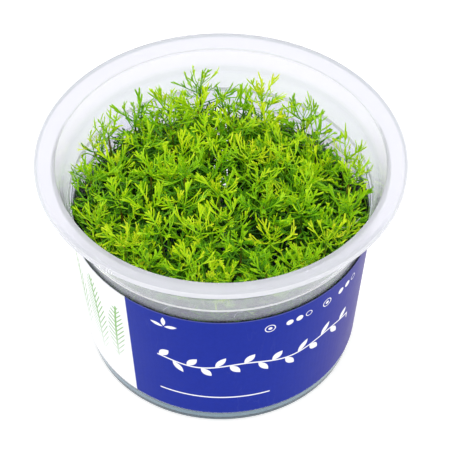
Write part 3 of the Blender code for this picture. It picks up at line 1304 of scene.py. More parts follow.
@dataclass
class Wrap:
    """The printed film round the body, open by a narrow seam at the back.

    Its back is white. Behind the blue field it is dark navy, the print seen from behind with painted shade,
    and low at the rear it is dark grey-green painted shade. At the rear it also thins to a clear strip above
    a height.
    """

    tub: Tub
    low: float = 4.35 * MM
    high: float = 44.1 * MM
    thickness: float = 0.2 * MM
    standoff: float = 0.5 * MM
    seam: float = math.radians(6.0)
    printed_half: float = math.radians(108.0)
    round_steps: int = 176
    up_steps: int = 11
    clear_from: float = 36.5 * MM
    skew: float = 1.0 * MM
    skew_reach: float = math.radians(70.0)
    printed: FilmFinish = FilmFinish()
    plain: tuple[PlainFilmFinish, ...] = (
        PlainFilmFinish("film_back", (0.88, 0.88, 0.93), (0.92, 0.92, 0.96)),
        PlainFilmFinish("thin_film", (0.97, 0.965, 0.98), (0.98, 0.975, 0.99), 0.97),
        # Dark navy behind the blue field: the print seen from behind, darkened further as painted shade.
        PlainFilmFinish("field_back_painted_shade", (0.035, 0.035, 0.075), (0.055, 0.05, 0.10)),
        # Painted shade: dark grey-green on the film's back, low at the rear.
        PlainFilmFinish("painted_shade_back", (0.10, 0.12, 0.11), (0.15, 0.17, 0.15)),
    )

    def middle(self) -> float:
        """The film's radius at half its height."""
        return self.tub.body_radius((self.low + self.high) / 2.0) + self.standoff

    def angles(self) -> np.ndarray:
        """The angles of the film's rows, from one side of the seam round to the other."""
        begin = math.pi / 2.0 + self.seam / 2.0
        return begin + (2.0 * math.pi - self.seam) * np.linspace(0.0, 1.0, self.round_steps)

    def heights(self) -> np.ndarray:
        """The heights round the film's section, up its outer face and down its inner one."""
        share = np.linspace(0.0, 1.0, self.up_steps)
        return self.low + (self.high - self.low) * np.concatenate([share, share[::-1]])

    def skewed(self, angle: np.ndarray) -> np.ndarray:
        """How far the film was set too high at each angle, most of all left of the front.

        With t the turn from the middle of the raised part as a share of its reach, it is skew *
        (1 - t squared) squared, and nothing past the reach.

        Args:
            angle: angles round the tub.

        Returns:
            The rise at each angle.
        """
        turn = np.mod(angle - FRONT + math.pi + self.skew_reach, 2.0 * math.pi) - math.pi
        share = np.clip(np.abs(turn) / self.skew_reach, 0.0, 1.0)
        return self.skew * (1.0 - share**2) ** 2

    def sheet(self) -> Surface:
        """The film as a closed thin sheet.

        The sheet's section is a slim rectangle, walked up its outer face and down its inner one,
        and is carried round the tub from one side of the seam to the other.

        Returns:
            The sheet's surface, its two ends last.
        """
        heights, angle = self.heights(), self.angles()
        outer = self.standoff * np.ones(self.up_steps)
        level = heights + self.skewed(angle)[:, None]
        radius = self.tub.body_radius(level) + np.concatenate([outer, outer - self.thickness])
        grid = np.stack([np.cos(angle)[:, None] * radius, np.sin(angle)[:, None] * radius, level], axis=-1)
        count = len(heights)
        row, step = np.meshgrid(np.arange(self.round_steps - 1), np.arange(count), indexing="ij")
        after = (step + 1) % count
        quads = np.stack(
            [row * count + step, (row + 1) * count + step, (row + 1) * count + after, row * count + after],
            axis=-1,
        ).reshape(-1, 4)
        pair = np.arange(self.up_steps - 1)
        low_end = np.stack([pair, pair + 1, count - 2 - pair, count - 1 - pair], axis=1)
        high_end = (self.round_steps - 1) * count + low_end[:, ::-1]
        points = grid.reshape(-1, 3)
        plain = np.zeros(len(points))
        faces = np.concatenate([quads, low_end, high_end])
        return Surface(points, faces, np.zeros((0, 3), int), plain, plain)

    def map_print(self, mesh: bpy.types.Mesh) -> None:
        """Lays the print on the mesh: u is the share of the way round and v the share of the way up.

        Args:
            mesh: the film's mesh.
        """
        heights = self.heights()
        around = np.repeat(np.linspace(0.0, 1.0, self.round_steps), len(heights))
        upward = np.tile((heights - self.low) / (self.high - self.low), self.round_steps)
        corners = np.zeros(len(mesh.loops), np.int32)
        mesh.loops.foreach_get("vertex_index", corners)
        places = np.stack([around[corners], upward[corners]], axis=1)
        mesh.uv_layers.new(name="UVMap").data.foreach_set("uv", places.astype(np.float32).ravel())

    def face_kinds(self, total: int) -> np.ndarray:
        """Which kind each face of the sheet is.

        Args:
            total: how many faces the sheet has.

        Returns:
            Each face's number, of which the sheet's ends have the print's.
        """
        heights = self.heights()
        count = len(heights)
        row, step = np.meshgrid(np.arange(self.round_steps - 1), np.arange(count), indexing="ij")
        row, step = row.ravel(), step.ravel()
        turn = np.mod(self.angles()[row] - FRONT + math.pi, 2.0 * math.pi) - math.pi
        across = turn * self.middle()
        layout = self.printed.layout
        blue = (across > layout.panel_right * MM) & (across < layout.field_right * MM)
        inside = step >= self.up_steps
        level = heights[np.where(inside, count - 1 - step, step)]
        rear = np.abs(turn) > self.printed_half
        # Inner faces behind the blue field and low at the rear take the painted shade finishes.
        kind = np.where(inside, np.where(blue, FilmFace.FIELD_BACK, FilmFace.BACK), FilmFace.PRINT)
        kind = np.where(rear & inside, FilmFace.PAINTED_SHADE_BACK, kind)
        kind = np.where(rear & (level > self.clear_from), FilmFace.THIN, kind)
        return np.concatenate([kind, np.full(total - len(kind), FilmFace.PRINT)]).astype(np.int32)

    def build(self, effects: Effects) -> None:
        """Builds and dresses the film.

        Args:
            effects: the shared node groups.
        """
        mesh = self.sheet().to_mesh("label_wrap", False)
        self.map_print(mesh)
        mesh.polygons.foreach_set("material_index", self.face_kinds(len(mesh.polygons)))
        length = (2.0 * math.pi - self.seam) * self.middle()
        film = self.printed.material(effects, length / MM, (self.high - self.low) / MM)
        finishes = [film, *(finish.material(effects) for finish in self.plain)]
        add_piece("label_wrap", mesh, finishes, Slot.FILM, "label")


@dataclass
class Gel:
    """The block of growing gel in the tub's foot."""

    tub: Tub
    low: float = 2.0 * MM
    high: float = 16.0 * MM
    clearance: float = 1.3 * MM
    foot_round: float = 1.4 * MM
    edge_round: float = 0.5 * MM
    edge_breadth: float = 1.6 * MM
    edge_rise: float = 0.5 * MM
    edge_ease: float = 1.5 * MM
    sag: float = 0.6 * MM
    round_steps: int = 96

    def build(self, effects: Effects) -> None:
        """Builds the gel as a turned block with a slightly raised edge, as a set gel has.

        Args:
            effects: the shared node groups.
        """
        side_low = self.tub.body_radius(self.low) - self.clearance
        side_high = self.tub.body_radius(self.high) - self.clearance
        outline = rounded_outline(np.array([
            (0.0, self.low, 0.0),
            (side_low, self.low, self.foot_round),
            (side_high, self.high, self.edge_round),
            (side_high - self.edge_breadth, self.high - self.edge_rise, self.edge_ease),
            (0.0, self.high - self.sag, 0.0),
        ]))
        mesh = turned(outline, self.round_steps).to_mesh("gel_block", True)
        add_piece("gel_block", mesh, [GelFinish().material(effects)], Slot.GEL, "gel")


# ---------------------------------------------------------------- plants


@dataclass
class Skeleton:
    """Where one CAD shoot is: its stem's path upwards, and the tips of its whorls."""

    path: np.ndarray
    bud: np.ndarray
    tips: np.ndarray
    rings: np.ndarray


@dataclass(frozen=True)
class SkeletonReader:
    """Reads a shoot's path and leaf tips off its CAD node, whose sizes it repeats."""

    foot: float = 16.3 * MM
    bud_rise: float = 1.6 * MM
    band: float = 0.8 * MM
    depths: tuple[float, float, float] = (5.2 * MM, 9.2 * MM, 15.5 * MM)
    leaves: int = 4
    alone: float = 1.0 * MM
    level: float = 0.02 * MM

    def read(self, node: bpy.types.Object) -> Skeleton:
        """Finds the stem rings and leaf tips among a node's vertices.

        A tip or bud is a vertex with no other within a millimetre. The bud is the one nearest
        above the stem. A ring's centre is the mean of the four vertices at its height that are
        nearest to the centre above it.

        Args:
            node: the CAD node.

        Returns:
            The shoot's skeleton.
        """
        flat = np.zeros(len(node.data.vertices) * 3, np.float32)
        node.data.vertices.foreach_get("co", flat)
        points = np.unique(np.round(flat.reshape(-1, 3).astype(float), 6), axis=0)
        apart = np.linalg.norm(points[:, None] - points[None], axis=2)
        np.fill_diagonal(apart, 1.0)
        single = points[apart.min(axis=1) > self.alone]
        base = points[np.argsort(points[:, 2])[: self.leaves]].mean(axis=0)
        upper = single[single[:, 2] > single[:, 2].max() - 2.0 * self.depths[0]]
        others = points[apart.min(axis=1) <= self.alone]
        bud = None
        for candidate in upper:
            below = np.abs(others[:, 2] - (candidate[2] - self.bud_rise)) < self.level
            if below.sum() >= self.leaves:
                near = np.linalg.norm(others[below][:, :2] - candidate[:2], axis=1)
                if np.sort(near)[self.leaves - 1] < self.alone:
                    bud = candidate
        heights = [self.foot]
        for depth in self.depths[::-1]:
            ring = bud[2] - self.bud_rise - self.band + self.depths[0] - depth
            heights += [ring, ring + self.band]
        centre, found = bud, []
        for height in heights[:0:-1]:
            level = points[np.abs(points[:, 2] - height) < self.level]
            reach = np.linalg.norm(level[:, :2] - centre[:2], axis=1)
            centre = level[np.argsort(reach)[: self.leaves]].mean(axis=0)
            found.append(centre)
        path = np.array([base, *found[::-1]])
        tips = single[np.linalg.norm(single - bud, axis=1) > MERGE]
        tips = tips[np.argsort(tips[:, 2])].reshape(len(self.depths), self.leaves, 3)
        return Skeleton(path, bud, tips, (path[1::2] + path[2::2]) / 2.0)


@dataclass
class Leaves:
    """Leaves before their surfaces are worked out: foot, direction, length and tone of each."""

    foot: np.ndarray
    along: np.ndarray
    length: np.ndarray
    tone: np.ndarray

    @staticmethod
    def joined(parts: list["Leaves"]) -> "Leaves":
        """Puts batches of leaves after each other."""
        fields = ("foot", "along", "length", "tone")
        return Leaves(*(np.concatenate([getattr(part, name) for part in parts]) for name in fields))

    def chosen(self, which: np.ndarray) -> "Leaves":
        """The leaves that a row of True and False picks."""
        return Leaves(self.foot[which], self.along[which], self.length[which], self.tone[which])


@dataclass(frozen=True)
class LeafForm:
    """A feathery leaf: a bare stalk, then narrow segments left and right in turn, and one at the end.

    Lengths are shares of the leaf's length, and breadths are in metres. Each range or scatter is
    what chance draws from, leaf by leaf or segment by segment.
    """

    segments: int = 5
    first: float = 0.34
    last: float = 0.80
    long_share: float = 0.46
    short_share: float = 0.26
    spread: tuple[float, float] = (math.radians(24.0), math.radians(56.0))
    fold: float = math.radians(22.0)
    stalk_half: float = 0.18 * MM
    blade_half: float = 0.30 * MM
    keel: float = 0.13 * MM
    full_length: float = 7.5 * MM
    grown_range: tuple[float, float] = (0.45, 1.1)
    roll_scatter: float = 0.9
    bow_range: tuple[float, float] = (-0.3, 0.9)
    swing_scatter: float = 0.5
    start_scatter: float = 0.06
    reach_range: tuple[float, float] = (0.6, 1.2)
    spread_range: tuple[float, float] = (0.65, 1.35)
    fold_range: tuple[float, float] = (-0.8, 2.0)
    lift_range: tuple[float, float] = (-0.30, 0.60)
    curl_range: tuple[float, float] = (-0.15, 0.45)
    lean_scatter: float = 0.7
    breadth_range: tuple[float, float] = (0.75, 1.15)
    tone_scatter: float = 0.07

    def surface(self, leaves: Leaves, rng: np.random.Generator) -> Surface:
        """Works out every leaf's surface at once.

        A leaf's rib is foot + length * (u * along + (u * u - u) * (bow * normal + swing * side)).
        A segment that starts at share u goes to start + reach * (s * aim + s * s * (curl * along +
        lift * normal)), where the aim lies between the rib's direction and its side.

        Args:
            leaves: the leaves.
            rng: the source of chance.

        Returns:
            One surface with all leaves.
        """
        count, rods = len(leaves.length), len(leaves.length) * self.segments
        sideways = unit(np.cross(leaves.along, UP) + 1e-9)
        normal = unit(np.cross(sideways, leaves.along))
        roll = rng.uniform(-self.roll_scatter, self.roll_scatter, count)[:, None]
        normal, sideways = (
            np.cos(roll) * normal + np.sin(roll) * sideways,
            np.cos(roll) * sideways - np.sin(roll) * normal,
        )
        bow = rng.uniform(*self.bow_range, (count, 1)) * normal
        bow = bow + rng.uniform(-self.swing_scatter, self.swing_scatter, (count, 1)) * sideways
        length = leaves.length

        def rib(share: np.ndarray) -> np.ndarray:
            """Places on the rib at shares of its length."""
            run = share[..., None] * leaves.along[:, None] + (share * share - share)[..., None] * bow[:, None]
            return leaves.foot[:, None] + length[:, None, None] * run

        knots = np.array([0.0, 0.34, 0.66, 0.94, 1.0])
        centres = rib(np.broadcast_to(knots, (count, len(knots))))
        rings = len(knots) - 1
        wide = np.array([1.0, 0.95, 1.3, 1.7]) * self.stalk_half
        grown = np.clip(length / self.full_length, *self.grown_range)[:, None]
        rib_tone = leaves.tone[:, None] + np.array([-0.22, -0.16, -0.04, 0.06, 0.12])
        rib_surface = lofts(
            centres,
            np.broadcast_to(normal[:, None], (count, rings, 3)),
            np.broadcast_to(sideways[:, None], (count, rings, 3)),
            np.broadcast_to(wide * 0.7, (count, rings)) * grown,
            np.broadcast_to(wide, (count, rings)) * grown,
            3,
            rib_tone,
            np.zeros_like(rib_tone),
        )
        order = np.linspace(0.0, 1.0, self.segments)
        scatter = rng.uniform(-self.start_scatter, self.start_scatter, (count, self.segments))
        share = self.first + (self.last - self.first) * order + scatter
        hand = np.where(np.arange(self.segments) % 2 == 0, 1.0, -1.0) * rng.choice([-1.0, 1.0], (count, 1))
        reach_share = self.long_share + (self.short_share - self.long_share) * order
        reach = length[:, None] * reach_share * rng.uniform(*self.reach_range, share.shape)
        start = rib(share)
        slope = unit(leaves.along[:, None] + (2.0 * share - 1.0)[..., None] * bow[:, None])
        spread = rng.uniform(*self.spread, (count, 1)) * rng.uniform(*self.spread_range, share.shape)
        fold = self.fold * rng.uniform(*self.fold_range, share.shape)
        outward = hand[..., None] * np.cos(fold)[..., None] * sideways[:, None]
        outward = outward + np.sin(fold)[..., None] * normal[:, None]
        aim = unit(np.cos(spread)[..., None] * slope + np.sin(spread)[..., None] * outward)
        lift = rng.uniform(*self.lift_range, share.shape)
        curl = rng.uniform(*self.curl_range, share.shape)
        run = np.array([0.0, 0.48, 0.88, 1.0])
        bend = curl[..., None] * leaves.along[:, None] + lift[..., None] * normal[:, None]
        strokes = run[:, None] * aim[:, :, None] + (run * run)[:, None] * bend[:, :, None]
        paths = (start[:, :, None] + reach[..., None, None] * strokes).reshape(rods, len(run), 3)
        flat_aim = aim.reshape(rods, 3)
        lean = rng.uniform(-self.lean_scatter, self.lean_scatter, (rods, 1))
        broad = unit(np.cross(flat_aim, np.repeat(normal, self.segments, axis=0)))
        thin = unit(np.cross(broad, flat_aim))
        thin, broad = (
            np.cos(lean) * thin + np.sin(lean) * broad,
            np.cos(lean) * broad - np.sin(lean) * thin,
        )
        half = np.broadcast_to([0.60, 0.95, 0.85], (rods, 3)) * self.blade_half
        half = half * np.repeat(grown, self.segments, axis=0) * rng.uniform(*self.breadth_range, (rods, 1))
        tone = np.repeat(leaves.tone, self.segments)[:, None] + np.array([-0.08, 0.0, 0.08, 0.16])
        tone = tone + rng.uniform(-self.tone_scatter, self.tone_scatter, (rods, 1))
        blades = lofts(
            paths,
            np.repeat(thin[:, None], 3, axis=1),
            np.repeat(broad[:, None], 3, axis=1),
            half * (self.keel / self.blade_half),
            half,
            3,
            tone,
            np.zeros_like(tone),
        )
        return Surface.joined([rib_surface, blades])


@dataclass(frozen=True)
class Whorl:
    """One ring of leaves: how far under the tip, how long, how steep, how many, and its tone, which is how
    young it is and, lower down, painted shade.
    """

    depth: float
    length: float
    rise: float
    leaves: int
    tone: float


# Whorls from the tip down: on the main stem, more in the outer shoots, more in the rear ones, and
# on the side shoots. Their tones fall with depth, partly for age and partly as painted shade deep in the
# canopy.
MAIN_WHORLS = (
    Whorl(0.1 * MM, 3.0 * MM, math.radians(78.0), 3, 0.80),
    Whorl(0.8 * MM, 6.2 * MM, math.radians(54.0), 4, 0.70),
    Whorl(9.6 * MM, 9.0 * MM, math.radians(4.0), 4, 0.28),
    Whorl(17.0 * MM, 8.4 * MM, math.radians(0.0), 4, 0.06),
    Whorl(22.0 * MM, 8.0 * MM, math.radians(0.0), 4, 0.0),
    Whorl(27.0 * MM, 7.5 * MM, math.radians(0.0), 4, -0.05),
    Whorl(32.0 * MM, 7.0 * MM, math.radians(5.0), 4, -0.1),
)
SKIRT_WHORLS = (
    Whorl(11.0 * MM, 9.0 * MM, math.radians(8.0), 4, 0.14),
    Whorl(14.6 * MM, 9.0 * MM, math.radians(4.0), 4, 0.08),
    Whorl(19.2 * MM, 8.6 * MM, math.radians(0.0), 4, 0.02),
)
BACK_WHORLS = (
    Whorl(2.8 * MM, 7.8 * MM, math.radians(38.0), 4, 0.55),
    Whorl(7.2 * MM, 9.2 * MM, math.radians(20.0), 4, 0.40),
    Whorl(12.0 * MM, 9.2 * MM, math.radians(10.0), 4, 0.25),
)
SIDE_WHORLS = (
    Whorl(0.1 * MM, 3.0 * MM, math.radians(76.0), 3, 0.80),
    Whorl(0.8 * MM, 6.0 * MM, math.radians(50.0), 4, 0.74),
    Whorl(3.4 * MM, 8.6 * MM, math.radians(26.0), 4, 0.56),
    Whorl(7.2 * MM, 9.0 * MM, math.radians(8.0), 4, 0.36),
    Whorl(11.0 * MM, 8.6 * MM, math.radians(0.0), 4, 0.18),
)
# The four places that lead each root thread, in millimetres.
ROOTS = np.array([
    [(30.0, -14.0, 51.6), (31.6, -14.6, 51.4), (33.6, -14.0, 51.8), (35.6, -11.4, 52.6)],
    [(3.2, -39.0, 44.8), (4.2, -39.2, 48.6), (5.0, -39.2, 44.6), (5.8, -39.0, 48.2)],
    [(-14.8, -36.6, 44.8), (-13.6, -36.8, 46.2), (-13.2, -37.0, 47.6), (-12.2, -37.4, 46.6)],
    [(20.6, -33.6, 45.2), (19.4, -34.0, 46.8), (18.8, -34.4, 45.4), (17.6, -35.0, 47.4)],
]) * MM
# For the CAD shoot's own whorls, the lowest first: how young they are, darker low down also as painted shade,
# how far their leaves grow past the solid's tips, and how much their rise is flattened.
CAD_TONES = (0.16, 0.42, 0.64)
CAD_STRETCH = ((1.3, 1.7), (1.25, 1.65), (1.1, 1.4))
CAD_FLATTEN = (0.8, 0.55, 0.75)


@dataclass
class Plants:
    """All plantlets: one piece for each CAD shoot, fuller than its solid and on the same stem.

    Shares are the chances of no, one and two side shoots. Each range or scatter is what chance
    draws from.
    """

    tub: Tub
    seed: int = 11
    side_shares: tuple[float, ...] = (0.25, 0.50, 0.25)
    outer_shares: tuple[float, ...] = (0.05, 0.40, 0.55)
    rear_shares: tuple[float, ...] = (0.50, 0.40, 0.10)
    rear_from: float = 29.0 * MM
    root_half: float = 0.12 * MM
    side_reach: tuple[float, float] = (4.0 * MM, 7.5 * MM)
    side_drop: tuple[float, float] = (0.5 * MM, 7.0 * MM)
    back_from: float = 21.0 * MM
    back_drop: tuple[float, float] = (8.0 * MM, 12.0 * MM)
    open_range: tuple[float, float] = (0.3, 1.35)
    skirt_from: float = 25.0 * MM
    plain_share: float = 0.40
    fork_depth: tuple[float, float] = (9.0 * MM, 15.0 * MM)
    stem_half: float = 0.46 * MM
    stem_top: float = 0.55
    stem_sides: int = 5
    stem_limit: float = 36.0 * MM
    small_leaf: float = 5.0 * MM
    angle_scatter: float = 0.45
    rise_scatter: float = 0.35
    length_range: tuple[float, float] = (0.72, 1.12)
    whorl_scatter: float = 0.14
    cad_scatter: float = 0.10
    plant_tone: tuple[float, float] = (-0.10, 0.12)
    main_tone: float = 0.16
    main_twist: float = 0.9
    main_blush: tuple[float, float, float] = (0.25, 0.35, 0.85)
    side_tone: float = 0.4
    side_twist: float = 0.8
    side_blush: tuple[float, float, float] = (0.0, 0.35, 0.7)
    side_bend: tuple[float, float, float] = (0.9, 0.9, 0.35)
    side_turn: float = 0.5
    side_scatter: float = 0.08
    side_open: float = 0.2
    press: float = 0.9 * MM
    wall_gap: float = 0.3 * MM
    wall_heights: tuple[float, ...] = (1.7 * MM, 48.8 * MM, 55.0 * MM, 62.0 * MM)
    wall_radii: tuple[float, ...] = (35.05 * MM, 38.75 * MM, 40.39 * MM, 42.2 * MM)
    forms: tuple[LeafForm, LeafForm] = (
        LeafForm(),
        LeafForm(
            segments=4, first=0.50, last=0.80, long_share=0.40, short_share=0.28,
            spread=(math.radians(8.0), math.radians(24.0)),
        ),
    )
    small_form: LeafForm = LeafForm(
        segments=3, first=0.42, last=0.74, long_share=0.40, short_share=0.30,
        spread=(math.radians(10.0), math.radians(34.0)),
    )

    def pressed(self, points: np.ndarray) -> np.ndarray:
        """Holds points inside the wall and under the rim, as leaves that lean there.

        Within a short way of the wall the radius r goes to limit - press * exp(-(r - limit +
        press) / press), which never passes the limit and joins smoothly. Heights are held under
        the rim in the same way.

        Args:
            points: rows of places.

        Returns:
            The places inside the wall.
        """
        limit = np.interp(points[:, 2], self.wall_heights, self.wall_radii) - self.wall_gap
        radius = np.linalg.norm(points[:, :2], axis=1)
        held = self.eased(radius, limit)
        scale = (held / np.maximum(radius, MERGE))[:, None]
        return np.concatenate([points[:, :2] * scale, self.eased(points[:, 2:], self.tub.height)], axis=1)

    def eased(self, values: np.ndarray, limit: object) -> np.ndarray:
        """Values past limit - press brought back to limit - press * exp(-past / press)."""
        past = np.maximum(values - (limit - self.press), 0.0)
        return np.where(past > 0.0, limit - self.press * np.exp(-past / self.press), values)

    def stem(self, path: np.ndarray, half: np.ndarray, blush: np.ndarray, tone: float) -> Surface:
        """A round stem along a path that ends in a point.

        Args:
            path: rows of places upwards.
            half: half thickness at each place but the last.
            blush: how red-brown it is at each place.
            tone: how young its green is.

        Returns:
            The stem's surface.
        """
        run = unit(np.gradient(path, axis=0))[:-1]
        first = unit(np.cross(run, np.array([0.0, 1.0, 0.0])))
        second = np.cross(run, first)
        tones = tone + np.linspace(-0.25, 0.1, len(path))
        path, first, second, half, tones, blush = (
            part[None] for part in (path, first, second, half, tones, blush)
        )
        return lofts(path, first, second, half, half, self.stem_sides, tones, blush)

    def stem_place(self, path: np.ndarray, height: float) -> np.ndarray:
        """The place on a stem at a height, straight between the places of its path.

        Args:
            path: rows of places upwards.
            height: the height.

        Returns:
            The place.
        """
        return np.array([*(np.interp(height, path[:, 2], path[:, k]) for k in (0, 1)), height])

    def stem_blush(
        self, rng: np.random.Generator, blush: tuple[float, float, float], count: int
    ) -> np.ndarray:
        """How red-brown a stem is at each place.

        Args:
            rng: the source of chance.
            blush: its usual amount, how far that varies, and its limit.
            count: how many places there are.

        Returns:
            The amounts.
        """
        usual, spread, limit = blush
        return np.clip(rng.normal(usual, spread, count), 0.0, limit)

    def whorl(
        self,
        rng: np.random.Generator,
        foot: np.ndarray,
        axis: np.ndarray,
        turn: float,
        ring: Whorl,
        tone: float,
        opened: float,
    ) -> Leaves:
        """The leaves of one whorl round a stem.

        A leaf at turn t points along cos(rise) * (cos(t) * side + sin(t) * other side) +
        sin(rise) * axis.

        Args:
            rng: the source of chance.
            foot: the whorl's place on the stem.
            axis: the stem's direction there.
            turn: the first leaf's turn.
            ring: the whorl's sizes.
            tone: how much younger or older the plant is than usual.
            opened: how far the leaves have come down from upright, as a share of the usual.

        Returns:
            The whorl's leaves.
        """
        count = ring.leaves
        angle = turn + np.arange(count) * 2.0 * math.pi / count
        angle = angle + rng.uniform(-self.angle_scatter, self.angle_scatter, count)
        rise = math.pi / 2.0 - (math.pi / 2.0 - ring.rise) * opened
        rise = rise + rng.uniform(-self.rise_scatter, self.rise_scatter, count)
        side = unit(np.cross(axis, np.array([0.0, 1.0, 0.0])))
        other = np.cross(axis, side)
        spoke = np.cos(angle)[:, None] * side + np.sin(angle)[:, None] * other
        along = unit(np.cos(rise)[:, None] * spoke + np.sin(rise)[:, None] * axis)
        length = ring.length * rng.uniform(*self.length_range, count)
        tones = ring.tone + tone + rng.uniform(-self.whorl_scatter, self.whorl_scatter, count)
        return Leaves(np.broadcast_to(foot, (count, 3)).copy(), along, length, tones)

    def main_shoot(
        self, rng: np.random.Generator, bones: Skeleton, tone: float
    ) -> tuple[Surface, Leaves, Leaves]:
        """The shoot on the CAD stem: the solid's whorls, each leaf out to its tip, and more between.

        Args:
            rng: the source of chance.
            bones: the CAD shoot's skeleton.
            tone: how young the plant is.

        Returns:
            The stem, the large leaves and the small ones.
        """
        path = np.concatenate([bones.path, bones.bud[None]])
        ends = [self.stem_half, self.stem_top * self.stem_half]
        half = np.interp(path[:-1, 2], [bones.path[0, 2], bones.bud[2]], ends)
        blush = self.stem_blush(rng, self.main_blush, len(path))
        stem = self.stem(path, half, blush, self.main_tone + tone)
        large, small = [], []
        for ring, tips, young, stretch, flat in zip(
            bones.rings, bones.tips, CAD_TONES, CAD_STRETCH, CAD_FLATTEN
        ):
            reach = (tips - ring) * np.array([1.0, 1.0, flat])
            length = np.linalg.norm(reach, axis=1) * rng.uniform(*stretch, len(tips))
            tones = young + tone + rng.uniform(-self.cad_scatter, self.cad_scatter, len(tips))
            large.append(Leaves(np.broadcast_to(ring, reach.shape).copy(), unit(reach), length, tones))
        turn = rng.uniform(0.0, 2.0 * math.pi)
        rings = MAIN_WHORLS + (SKIRT_WHORLS if np.linalg.norm(bones.bud[:2]) > self.skirt_from else ())
        rings += BACK_WHORLS if bones.bud[1] > self.back_from else ()
        axis = unit(bones.bud - bones.path[-3])
        for place, ring in enumerate(rings):
            foot = self.stem_place(path, bones.bud[2] - ring.depth)
            opened = 1.0 if place else rng.uniform(*self.open_range)
            batch = self.whorl(rng, foot, axis, turn + place * self.main_twist, ring, tone, opened)
            (small if ring.length < self.small_leaf else large).append(batch)
        return stem, Leaves.joined(large), Leaves.joined(small)

    def side_shoot(
        self, rng: np.random.Generator, bones: Skeleton, turn: float, tone: float
    ) -> tuple[Surface, Leaves, Leaves]:
        """A shoot that forks off the main stem and rises beside it.

        Its path is a curve with three points, start, bend and top: (1 - s)^2 * start + 2 s (1 - s)
        * bend + s^2 * top.

        Args:
            rng: the source of chance.
            bones: the CAD shoot's skeleton.
            turn: which way it leaves the stem.
            tone: how young the plant is.

        Returns:
            The stem, the large leaves and the small ones.
        """
        drop = self.back_drop if bones.bud[1] > self.back_from else self.side_drop
        top_height = bones.bud[2] - rng.uniform(*drop)
        fork = top_height - rng.uniform(*self.fork_depth)
        start = self.stem_place(bones.path, fork)
        way = np.array([math.cos(turn), math.sin(turn), 0.0])
        top = np.array([*bones.bud[:2], top_height]) + way * rng.uniform(*self.side_reach)
        radius = float(np.linalg.norm(top[:2]))
        top[:2] *= min(1.0, self.stem_limit / radius)
        bend = start + (top - start) * np.array(self.side_bend)
        share = np.linspace(0.0, 1.0, 6)[:, None]
        path = (1.0 - share) ** 2 * start + 2.0 * share * (1.0 - share) * bend + share**2 * top
        half = np.linspace(0.8, 0.5, len(path) - 1) * self.stem_half
        blush = self.stem_blush(rng, self.side_blush, len(path))
        stem = self.stem(path, half, blush, self.side_tone + tone)
        large, small = [], []
        first = rng.uniform(0.0, 2.0 * math.pi)
        opened = rng.uniform(*self.open_range)
        grown = [ring for ring in SIDE_WHORLS if ring.depth < top[2] - start[2]]
        axis = unit(path[-1] - path[-3])
        for place, ring in enumerate(grown):
            foot = self.stem_place(path, top[2] - ring.depth)
            unfolded = min(1.0, opened + self.side_open * place)
            batch = self.whorl(rng, foot, axis, first + place * self.side_twist, ring, tone, unfolded)
            (small if ring.length < self.small_leaf else large).append(batch)
        return stem, Leaves.joined(large), Leaves.joined(small)

    def root(self, places: np.ndarray) -> Surface:
        """A bare root thread.

        With s from 0 to 1 it runs through (1 - s)^3 a + 3 s (1 - s)^2 b + 3 s^2 (1 - s) c + s^3 d.

        Args:
            places: the four places a, b, c and d.

        Returns:
            The thread's surface.
        """
        share = np.linspace(0.0, 1.0, 12)[:, None]
        weights = (
            (1.0 - share) ** 3,
            3.0 * share * (1.0 - share) ** 2,
            3.0 * share**2 * (1.0 - share),
            share**3,
        )
        path = sum(weight * place for weight, place in zip(weights, places))
        half = np.linspace(1.0, 0.6, len(path) - 1) * self.root_half
        return self.stem(path, half, np.zeros(len(path)), ROOT_TONE)

    def side_shares_of(self, bones: Skeleton) -> tuple[float, ...]:
        """The chances of no, one and two side shoots on a shoot.

        Args:
            bones: the CAD shoot's skeleton.

        Returns:
            The chances.
        """
        if bones.bud[1] > self.rear_from:
            return self.rear_shares
        return self.outer_shares if np.linalg.norm(bones.bud[:2]) > self.skirt_from else self.side_shares

    def plant(self, rng: np.random.Generator, bones: Skeleton, roots: np.ndarray) -> Surface:
        """One plantlet: its main shoot, side shoots and root threads.

        Args:
            rng: the source of chance.
            bones: the CAD shoot's skeleton.
            roots: the places of each root thread that it has.

        Returns:
            The plantlet's surface, inside the tub.
        """
        tone = rng.uniform(*self.plant_tone)
        shoots = [self.main_shoot(rng, bones, tone)]
        first = rng.uniform(0.0, 2.0 * math.pi)
        if np.linalg.norm(bones.bud[:2]) > self.skirt_from:
            first = math.atan2(bones.bud[1], bones.bud[0]) + math.pi / 2.0
        shares = self.side_shares_of(bones)
        for place in range(int(rng.choice(len(shares), p=shares))):
            turn = first + place * math.pi + rng.uniform(-self.side_turn, self.side_turn)
            side_tone = tone + rng.uniform(-self.side_scatter, self.side_scatter)
            shoots.append(self.side_shoot(rng, bones, turn, side_tone))
        stems, larges, smalls = (list(parts) for parts in zip(*shoots))
        leaves = Leaves.joined(larges)
        plain = rng.random(len(leaves.length)) < self.plain_share
        plant = Surface.joined([
            *stems,
            *(self.root(places) for places in roots),
            self.forms[0].surface(leaves.chosen(~plain), rng),
            self.forms[1].surface(leaves.chosen(plain), rng),
            self.small_form.surface(Leaves.joined(smalls), rng),
        ])
        plant.points = self.pressed(plant.points)
        return plant

